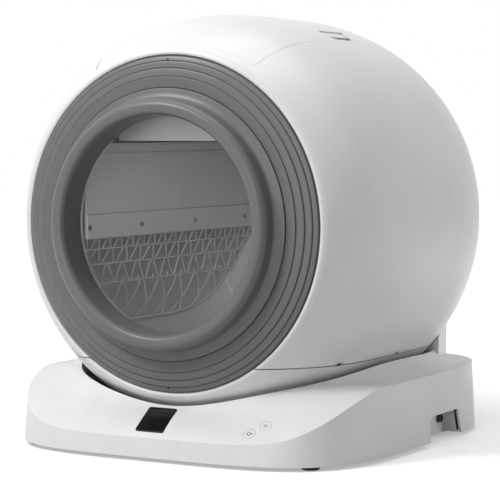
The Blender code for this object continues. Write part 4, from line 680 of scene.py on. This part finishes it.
def no_rounds(radius, depth):
    """Profile corners (radius, depth, 0), for points that lie on a smooth curve already."""
    return np.c_[radius, depth, np.zeros(len(depth))]


middle = between(41.6, 354.4, 4.0)
tail = between(421.0, 449.0, 3.0)
drum_outside = np.vstack([
    [(136, 2.6, 1), (136, 8.5, 2), (drum_radius(8.5), 8.5, 4), (190, 19, 0.6), (190, 41, 0.6)],
    no_rounds(drum_radius(middle), middle),
    [(210, 355, 0.6), (210, 377, 0.6), (drum_radius(404), 404, 0.8), (186, 404, 0.8), (186, 421, 0.6)],
    no_rounds(drum_radius(tail), tail), [(drum_radius(451.9), 451.9, 2), (0, 452, 0)],
])
middle = between(44.6, 366.0, 4.0)[::-1]
tail = between(421.0, 446.0, 3.0)[::-1]
drum_inside = np.vstack([
    [(0, 449, 0), (drum_radius(449) - 4, 449, 3)], no_rounds(drum_radius(tail) - DRUM_WALL, tail),
    [(183, 401, 1), (drum_radius(404) - DRUM_WALL, 401, 1)],
    no_rounds(drum_radius(middle) - DRUM_WALL, middle),
    [(187, 44, 1), (187, 19, 2), (drum_radius(8.5) - DRUM_WALL, 11.5, 3), (131.5, 11.5, 1), (131.5, 2.6, 1)],
])
drum = rounded(np.vstack([drum_inside, drum_outside]), closed=False)
drum = turned_mesh("drum", drum, 240, closed=False)
window = rounded([(-104, 46, 6), (104, 46, 6), (104, 346, 6), (-104, 346, 6)])
drum = cut(drum, [prism_mesh("window", window, BIN_FLOOR, 300)])
show("drum_moulding", drum, DRUM_PP, "drum", ["drum"], bevel=0.5)

# %% [markdown]
# ## Simple mouldings
# Many inner pieces are plain mouldings whose CAD solid is already right, but whose edges are knife
# sharp. A copy of the solid is merged, its flat faces are joined again, and Bevel rounds its edges.

# %% A CAD solid with rounded edges
def dressed(node, material, body, bevel=0.6, segments=2, angle=40):
    """A merged copy of a CAD node's mesh, its coplanar triangles joined, with rounded edges."""
    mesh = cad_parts[node].data.copy()
    shape = bmesh.new()
    shape.from_mesh(mesh)
    bmesh.ops.remove_doubles(shape, verts=shape.verts, dist=0.01 * MM)
    bmesh.ops.dissolve_limit(shape, angle_limit=math.radians(1), verts=shape.verts, edges=shape.edges)
    shape.to_mesh(mesh)
    shape.free()
    show(node + "_moulding", mesh, material, body, [node], bevel, segments, angle)


dressed("divider_panel", DRUM_PP, "drum", 0.5)
dressed("screen_strip", DRUM_PP, "drum", 0.5)
dressed("waste_bin", BIN_PP, "waste_bin", 0.8, 3)
dressed("latch_pocket", DARK_ABS, "top_lid", 0.4)
dressed("motor_cradle", DARK_ABS, "base", 0.8)
CORNERS = ("front_left", "front_right", "rear_left", "rear_right")
for corner in CORNERS:
    dressed(corner + "_roller_bracket", WHITE_ABS, "base", 0.4)
    dressed(corner + "_roller", RUBBER, corner + "_roller", 0.6)
    dressed("foot_" + corner, RUBBER, "base", 0.5)

# %% [markdown]
# ## The sifting screen
# The screen is a bent sheet of thin struts between level bars. Each strut is a path on the sheet,
# given as depths and drops. All struts of a row are swept at once: for every point of every path a
# small rectangle with cut corners is set across the path and along the sheet's normal.

# %% Struts on the bent sheet
WALL_X, STRIP_BOTTOM, FOOT_X, FOOT_DROP = 130.5, 21.0, 165.0, 138.0
SIFT_FRONT, SIFT_REAR = 16.0, 446.0
BARS = (21.3, 36.0, 56.0, 81.5)


def sheet_x(drop):
    """The sheet leans out from the strip by a share of the drop to the power 0.6."""
    share = np.clip((drop - STRIP_BOTTOM) / (FOOT_DROP - STRIP_BOTTOM), 0, 1)
    return -WALL_X - (FOOT_X - WALL_X) * share**0.6


def sheet_point(path):
    """(depth, drop) to (x, depth, rise) on the sheet."""
    return np.stack([sheet_x(path[..., 1]), path[..., 0], -path[..., 1]], axis=-1)


def swept(paths, width, thickness):
    """A rectangle of that width and thickness carried along every path of an array (paths, points, 2)."""
    centre = sheet_point(paths)
    along = np.gradient(centre, axis=1)
    along /= np.linalg.norm(along, axis=-1, keepdims=True)
    down = sheet_point(paths + (0, 0.5)) - sheet_point(paths - (0, 0.5))
    normal = np.cross(down, np.array([0.0, 1.0, 0.0]))
    normal /= np.linalg.norm(normal, axis=-1, keepdims=True)
    across = np.cross(normal, along)
    across /= np.linalg.norm(across, axis=-1, keepdims=True)
    # the rectangle is one by one here, and a is where its cut corners begin
    h, a = 0.5, 0.32
    sides = [(-h, -a), (-a, -h), (a, -h), (h, -a), (h, a), (a, h), (-a, h), (-h, a)]
    ring = [centre + across * width * u + normal * thickness * v for u, v in sides]
    return np.stack(ring, axis=2)


def swept_faces(shape, first):
    """Faces of all swept paths: walls round each one, and two quads and a middle one at each end."""
    paths, points, sides = shape[:3]
    base = first + np.arange(paths)[:, None, None] * points * sides
    walls = base + grid_faces(points, sides, wrap_cols=True).reshape(1, -1, 4)
    cap = np.array([(0, 1, 2, 3), (0, 3, 4, 7), (4, 5, 6, 7)])
    near = base + cap[None, :, ::-1]
    far = base + cap[None] + (points - 1) * sides
    return np.concatenate([walls.reshape(-1, 4), near.reshape(-1, 4), far.reshape(-1, 4)])


print("sheet leans out to x =", round(float(sheet_x(FOOT_DROP)), 1))

# %% [markdown]
# Seen from the front, the struts of the upper rows stand upright, although the sheet leans out. So
# each strut runs back by a fixed share of what the sheet leans out, and its own lean is added to
# that. The upper two rows are squares with one diagonal. In the third the struts start upright and
# part in pairs. Below it two families of long curved struts cross and run down to the foot.

# %% The rows
RUN_BACK, END_MARGIN = 1.775, 2.0
STRUT, STRUT_DEPTH, BAR, BAR_DEPTH, FOOT = 1.4, 2.0, 2.2, 2.6, 3.0


def row(top, bottom, start, pitch, lean, bend=1.0, bulge=0.0, points=9):
    """Struts a pitch apart: run back with the sheet, plus lean * t^bend, plus bulge * 4t(1 - t)."""
    t = np.linspace(0, 1, points)
    drop = top + (bottom - top) * t
    back = RUN_BACK * (sheet_x(np.float64(top)) - sheet_x(drop))
    back = back + lean * t**bend + bulge * 4 * t * (1 - t)
    first = start - pitch * np.floor((start - SIFT_FRONT) / pitch)
    starts = np.arange(first, SIFT_REAR, pitch)
    depth = starts[:, None] + back
    inside = (depth[:, -1] > SIFT_FRONT + END_MARGIN) & (depth[:, -1] < SIFT_REAR - END_MARGIN)
    return np.stack([depth, np.broadcast_to(drop, depth.shape)], axis=-1)[inside]


def drum_reach(depth, inset):
    """How far down the sheet reaches before it meets the drum's wall, by bisection on whole arrays."""
    drum_in = np.interp(depth, (11.5, 19, 44, 44.5), (172, 184, 184, 194))
    room = np.where(depth > 44.5, drum_radius(depth) - DRUM_WALL, drum_in) - inset
    room = np.where((depth > 400) & (depth < 422), 183 - inset, room)
    low, high = np.full(np.shape(depth), STRIP_BOTTOM), np.full(np.shape(depth), FOOT_DROP)
    for _ in range(24):
        half = (low + high) / 2
        fits = np.hypot(sheet_x(half), half) < room
        low, high = np.where(fits, half, low), np.where(fits, high, half)
    return low


parts, faces, count = [], [], 0
edge_depths = between(SIFT_FRONT + END_MARGIN, SIFT_REAR - END_MARGIN, 4.0)
foot = np.stack([edge_depths, drum_reach(edge_depths, 4.5)], axis=-1)[None]
plans = [(foot, FOOT, BAR_DEPTH)]
for level in BARS:
    line = np.stack([edge_depths, np.full(len(edge_depths), level)], axis=-1)[None]
    plans.append((line, BAR, BAR_DEPTH))
plans += [(paths, STRUT, STRUT_DEPTH) for paths in (
    row(BARS[0], BARS[1], 19.7, 26.1, -1.4),
    row(BARS[0], BARS[1], 39.6, 26.1, -14.1),
    row(BARS[1], BARS[2], 60.4, 31.7, -1.3),
    row(BARS[1], BARS[2], 84.9, 31.7, -20.6),
    row(BARS[2], BARS[3], 87.2, 35.6, -16.4, bend=0.7),
    row(BARS[2], BARS[3], 56.1, 35.6, 11.0, bend=1.5),
    row(BARS[3] - 5, BARS[3] + 3, 134.0, 35.6, -1.0, points=3),
    row(BARS[3], FOOT_DROP, 137.5, 45.0, -3.2, bulge=8.3, points=17),
    row(BARS[3], FOOT_DROP, 130.5, 45.0, -69.0, bend=1.5, points=17),
)]
for paths, width, thickness in plans:
    reach = drum_reach(paths[..., 0], 5.0)
    depths = np.clip(paths[..., 0], SIFT_FRONT + END_MARGIN, SIFT_REAR - END_MARGIN)
    paths = np.stack([depths, np.minimum(paths[..., 1], reach)], axis=-1)
    ring = swept(paths, width, thickness)
    faces.append(swept_faces(ring.shape, count))
    parts.append(ring.reshape(-1, 3))
    count += len(parts[-1])
screen = raw_mesh("screen", np.vstack(parts), np.vstack(faces))
show("sifting_screen_struts", screen, DRUM_PP, "drum", ["sifting_screen"], angle=50)

# %% [markdown]
# ## The base
# The base is a low body with a rounded rectangular plan. Its skirt is nearly upright. Its top is
# ruled between the skirt's edge and the rim, which follows the globe. The edge sweeps up along the
# sides in a long curve, and a crest parts the front fascia from the level shoulder behind it: the
# fascia keeps a low crown right up to it, and behind it the top drops away over a few millimetres.

# %% The base's lines
BASE_X, BASE_Y, RIM_X, RIM_Y, RIM_BACK = 244.6, 259.4, 200.0, 222.0, 14.5
DRAFT, SHOULDER, FASCIA_DROP = 3.5, 88.0, 62.0
WARP, PLAN_POWER, RIM_POWER, RIM_GAP = math.radians(23), 4.0, 2.95, 7.7


def oval(half_x, half_y, power, bearing):
    """A rounded rectangle in polar form: r = (|cos b / a|^p + |sin b / c|^p)^(-1/p)."""
    x, y = np.cos(bearing), np.sin(bearing)
    r = (np.abs(x / half_x) ** power + np.abs(y / half_y) ** power) ** (-1 / power)
    return r * x, r * y


def edge_height(depth):
    """Level at the sides; towards the front it falls as the 1.85th power and flattens out softly."""
    fall = 1.1 * np.clip((100 - depth) / 146.4, 0, None) ** 1.85
    return SHOULDER - FASCIA_DROP * fall / (1 + fall**10) ** 0.1


def edge_point(bearing):
    """On the base's plan less the draft of its skirt, at the edge's height."""
    x, y = oval(BASE_X - DRAFT, BASE_Y - DRAFT, PLAN_POWER, bearing)
    return np.stack([x, y, edge_height(y + COLLAR_SETBACK)], axis=-1)


def rim_point(bearing):
    """On its own rounded rectangle, at the height where the globe is a steady gap away."""
    x, y = oval(RIM_X, RIM_Y, RIM_POWER, bearing + WARP * np.sin(2 * bearing))
    y = y + RIM_BACK
    radius = globe_radius(np.maximum(0, y + COLLAR_SETBACK)) + RIM_GAP
    return np.stack([x, y, AXIS_HEIGHT - np.sqrt(np.maximum(0, radius**2 - x**2))], axis=-1)


CREST, CREST_FALL, CROWN, HOLLOW = math.atan2(-125.5, 237.6), math.radians(2.6), 15.0, 2.2


def top_point(bearing, share):
    """Ruled from edge to rim plus crown * s(1 - s); behind the crest the rise goes as s^2.2 instead."""
    bearing, share = np.broadcast_arrays(np.asarray(bearing, float), np.asarray(share, float))
    low, high = edge_point(bearing), rim_point(bearing)
    point = low + (high - low) * share[..., None]
    side = np.abs(np.angle(np.exp(1j * (bearing + math.pi / 2))))
    ahead = (math.pi / 2 + CREST) - side
    behind = np.clip(-ahead / CREST_FALL, 0, 1)
    crown = CROWN * share * (1 - share)
    hollow = (high[..., 2] - low[..., 2]) * (share**HOLLOW - share)
    point[..., 2] += crown + (hollow - crown) * behind
    return point


def base_frame(bearing, share):
    """A frame on the base's top: X sideways, Y up the slope, Z out of it, in metres."""
    step = 0.02
    centre = top_point(bearing, share)
    up = Vector(top_point(bearing, share + step) - top_point(bearing, share - step)).normalized()
    across = Vector(top_point(bearing + step, share) - top_point(bearing - step, share)).normalized()
    outwards = across.cross(up).normalized()
    side = Vector((1, 0, 0))
    side = (side - outwards * side.dot(outwards)).normalized()
    made = Matrix((side, outwards.cross(side), outwards)).transposed().to_4x4()
    made.translation = Vector(centre) * MM
    return made


print("edge at the front and the side:", edge_height(np.array([-46.0, 209.0])).round(1))
print("crest at", round(math.degrees(CREST), 1), "degrees from the right")

# %% Base housing
SKIRT_FOOT, HOUSING_WALL, RIM_DOWN, RIM_IN = 5.0, 3.0, 16, 2
# columns stand close on both sides of each crest, so that it stays sharp
beside = np.array([0.1, 0.3, 0.6, 1.3, 2.1, 2.6, 3.1])
beside = np.radians(np.r_[-beside[::-1], 0.0, beside])
crests = np.array([CREST, math.pi - CREST])
fine = (crests[:, None] + beside).ravel() % math.tau
bearings = np.unique(np.r_[np.linspace(0, math.tau, 361)[:-1], fine].round(6))
foot_x, foot_y = oval(BASE_X, BASE_Y, PLAN_POWER, bearings)
foot = np.stack([foot_x, foot_y, np.full(len(bearings), SKIRT_FOOT)], axis=-1)
edge_line = edge_point(bearings)
rows = [foot + (edge_line - foot) * t for t in (0.0, 0.35, 0.7, 0.9)]
rows += [top_point(bearings, s) for s in between(0, 1, 0.05)]
# inside the rim the wall turns down and a little inwards
rim = rim_point(bearings)
middle = np.array([0, RIM_BACK, 0])
for t in (0.1, 0.5, 1.0):
    shrunk = 1 - RIM_IN / RIM_X * t
    rows.append((rim - middle) * (shrunk, shrunk, 1) + middle - (0, 0, RIM_DOWN * t))
top = np.stack(rows)
normal = np.cross(np.roll(top, -1, axis=1) - np.roll(top, 1, axis=1), np.gradient(top, axis=0))
normal /= np.linalg.norm(normal, axis=-1, keepdims=True)
under = top - HOUSING_WALL * normal
to_drawing = np.array([0, COLLAR_SETBACK, -AXIS_HEIGHT])
housing = wall_mesh("base", top + to_drawing, under + to_drawing, wrap=True)
print("base rows and columns:", top.shape[:2])

# %% [markdown]
# The housing has a slot for the rear housing, a notch for the power plug at its right foot, a
# shallow well for the display and two for the touch keys. Each is cut by a prism.

# %% Openings of the base
DISPLAY_BEARING, DISPLAY_SHARE, DISPLAY_SIZE = math.radians(-91.5), 0.47, (38.5, 41.0)
KEY_SPOTS = ((math.radians(-59.1), 0.21), (math.radians(-53.3), 0.3))
KEY_RADIUS, KEY_WELL, CUT_TOP = 7.0, 7.3, 6
NOTCH_FRONT, NOTCH_REAR, NOTCH_TOP, NOTCH_SLANT, NOTCH_WALL = 215.0, 315.0, 36.7, 13.3, 222.1


def on_base(bearing, share):
    """Carries (across, up, out) points in mm from a flat drawing onto the base's top."""
    matrix = base_frame(bearing, share)
    turn, shift = np.array(matrix.to_3x3()), np.array(matrix.translation)
    return lambda points: np.asarray(points, float) @ turn.T * MM + shift


def circle(radius, steps=48):
    """Points (r cos a, r sin a) at equal angles."""
    angle = np.linspace(0, math.tau, steps, endpoint=False)
    return radius * np.c_[np.cos(angle), np.sin(angle)]


def plate(size, radius, inset=0.0):
    """A rounded rectangle about the origin."""
    x, y = size[0] / 2 - inset, size[1] / 2 - inset
    return rounded([(-x, -y, radius), (x, -y, radius), (x, y, radius), (-x, y, radius)], steps=9)


def housing_plan(inset):
    """The rear housing's plan: wide in front, narrower behind, with round rear corners."""
    front, rear, wide, narrow = 360 + inset, 450 - inset, 190 - inset, 165 - inset
    return rounded([(-wide, front, 0), (wide, front, 0), (narrow, rear, 24), (-narrow, rear, 24)], steps=13)


display_at = on_base(DISPLAY_BEARING, DISPLAY_SHARE)
wells = [prism_mesh("display_well", plate(DISPLAY_SIZE, 3, -0.4), -2.2, CUT_TOP, lift=display_at)]
for bearing, share in KEY_SPOTS:
    wells.append(prism_mesh("key_well", circle(KEY_WELL), -1.9, CUT_TOP, lift=on_base(bearing, share)))
slot = prism_mesh("housing_slot", housing_plan(-0.5), 9 - AXIS_HEIGHT, 0)
slope = NOTCH_SLANT / NOTCH_TOP
side = rounded([
    (NOTCH_REAR + 20 * slope, -20, 0), (NOTCH_FRONT, -20, 0), (NOTCH_FRONT, NOTCH_TOP, 11),
    (NOTCH_REAR - NOTCH_SLANT, NOTCH_TOP, 1.5),
], steps=9)


def from_the_side(points):
    """(depth, height, x) of a side view to the object's frame."""
    return to_frame(np.c_[points[:, 2], points[:, 0], points[:, 1] - AXIS_HEIGHT])


notch = prism_mesh("notch", side, NOTCH_WALL, 270, lift=from_the_side)
housing = cut(housing, [*wells, slot, notch], solver="FAST")
show(
    "base_housing_moulding", housing, BASE_ABS_PAINTED_BOUNCE, "base", ["base_housing"],
    bevel=0.8, segments=3, angle=32,
)

# %% [markdown]
# ## Display and touch keys
# The display is a black acrylic plate, flush with the fascia. The two keys beside it are touch
# areas: each is a thin white disc in its well, with a plain printed symbol, a round arrow or two
# bars. Each print is a thin piece of its own that stands 0.05 mm above the disc.

# %% Display and keys
glass = prism_mesh("glass", plate(DISPLAY_SIZE, 3), -1.8, 0.25, lift=display_at)
show("display_glass", glass, ACRYLIC, "base", ["display_window"], bevel=0.3)
INK = streaked("grey_print", "3A3A3B", "303031", 0.0, 0.5, EVEN, 900.0, 0.002)


def round_arrow(radius, width, opening=70, steps=28):
    """An arc from one edge of its opening round to the other, which ends in an arrow head."""
    angle = np.radians(np.linspace(opening, 360, steps))
    spoke = np.c_[np.cos(angle), np.sin(angle)]
    last = spoke[-1]
    tip = last * radius + np.array([-last[1], last[0]]) * 2.2 * width
    head = [last * (radius + 2 * width), tip, last * (radius - 2 * width)]
    return np.vstack([spoke * (radius + width / 2), *head, spoke[::-1] * (radius - width / 2)])


def upright_bar(x, half_x=0.45, half_y=2.1):
    """A rectangle about (x, 0)."""
    left, right = x - half_x, x + half_x
    return np.array([(left, -half_y), (right, -half_y), (right, half_y), (left, half_y)])


symbols = ([round_arrow(2.4, 0.8)], [upright_bar(-1.3), upright_bar(1.3)])
for number, (bearing, share) in enumerate(KEY_SPOTS, 1):
    lift = on_base(bearing, share)
    key, disc = f"touch_key_{number}", prism_mesh("disc", circle(KEY_RADIUS), -1.5, 0.05, lift=lift)
    show(f"touch_key_disc_{number}", disc, BASE_ABS_PAINTED_BOUNCE, "base", [key], bevel=0.2)
    for part, outline in enumerate(symbols[number - 1], 1):
        symbol = prism_mesh("symbol", outline, 0.02, 0.1, lift=lift)
        show(f"touch_key_print_{number}_{part}", symbol, INK, "base")

# %% [markdown]
# ## The rear housing and the power inlet
# The housing behind the globe rises out of the base and hides the motor. It is a prism with round
# rear corners, and the globe's own curve is taken out of its front.

# %% Rear housing
TOWER_GAP, TOWER_LINING, TOWER_TOP = 0.8, 6.8, -60


def globe_ball(offset, start, steps):
    """The whole globe, grown by an offset and closed on the axis, as a cutter."""
    depths = between(0.0, BACK, 4.0)
    profile = np.vstack([[(0, start)], np.c_[globe_radius(depths) + offset, depths], [(0, BACK + offset)]])
    return turned_mesh("ball", profile, steps, closed=False)


tower = prism_mesh("tower", housing_plan(0), 9 - AXIS_HEIGHT, TOWER_TOP)
hollow = prism_mesh("hollow", housing_plan(3), -300, TOWER_TOP - 3)
hollow = cut(hollow, [globe_ball(TOWER_LINING, -5, 120)])
tower = cut(tower, [hollow, globe_ball(TOWER_GAP, 0, 240)])
tower = cut(tower, [pinion_window()])
show(
    "rear_housing_moulding", tower, BASE_ABS_PAINTED_BOUNCE, "base", ["rear_housing"],
    bevel=1.2, segments=3, angle=50,
)
dressed("inlet_plate", BASE_ABS_PAINTED_BOUNCE, "base", 0.5)

# %% Power inlet
JACK_X, JACK_DEPTH, JACK_HEIGHT, JACK_STEPS = 219.3, 288, 25, 48
jack = rounded([
    (0, -7, 0), (5.5, -7, 0.4), (5.5, 7, 0.8), (3.4, 7, 0.6), (3.0, -3, 0.2), (0.9, -3, 0.1),
    (0.9, 5, 0.5), (0, 5.2, 0),
], closed=False)
points = turned_points(jack, JACK_STEPS)
points = points[..., [1, 0, 2]] + (JACK_X, JACK_DEPTH, JACK_HEIGHT - AXIS_HEIGHT)
jack = raw_mesh("jack", points, grid_faces(JACK_STEPS, len(jack), wrap_rows=True))
show("power_inlet_jack", jack, DARK_ABS, "base", ["power_inlet"])

# %% [markdown]
# ## The rest of the CAD pieces
# Gears, pins, axles, screws, the motor and the board are hidden or small. Their CAD solids are right
# as they are, so they keep their meshes and only get the finish of the real material.

# %% Finishes for the CAD nodes that stay
def wear(node, material):
    """Puts one material on a CAD node in place of what it came with."""
    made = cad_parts[node]
    made.data.materials.clear()
    made.data.materials.append(material)


stays = {
    "ring_gear": GEAR_POM, "drive_pinion": GEAR_POM, "drive_motor": STEEL, "lid_hinge_pin": STEEL,
    "control_board": BOARD, "bin_handle": DARK_ABS, "base_bottom_plate": BASE_ABS_PAINTED_BOUNCE,
}
stays.update({f"strip_screw_{n}": STEEL for n in (1, 2, 3, 4)})
stays.update({f"{corner}_roller_axle": STEEL for corner in CORNERS})
stays.update({f"post_{corner}": WHITE_ABS for corner in CORNERS})
for node, material in stays.items():
    wear(node, material)
print("CAD nodes that stay:", len(stays))
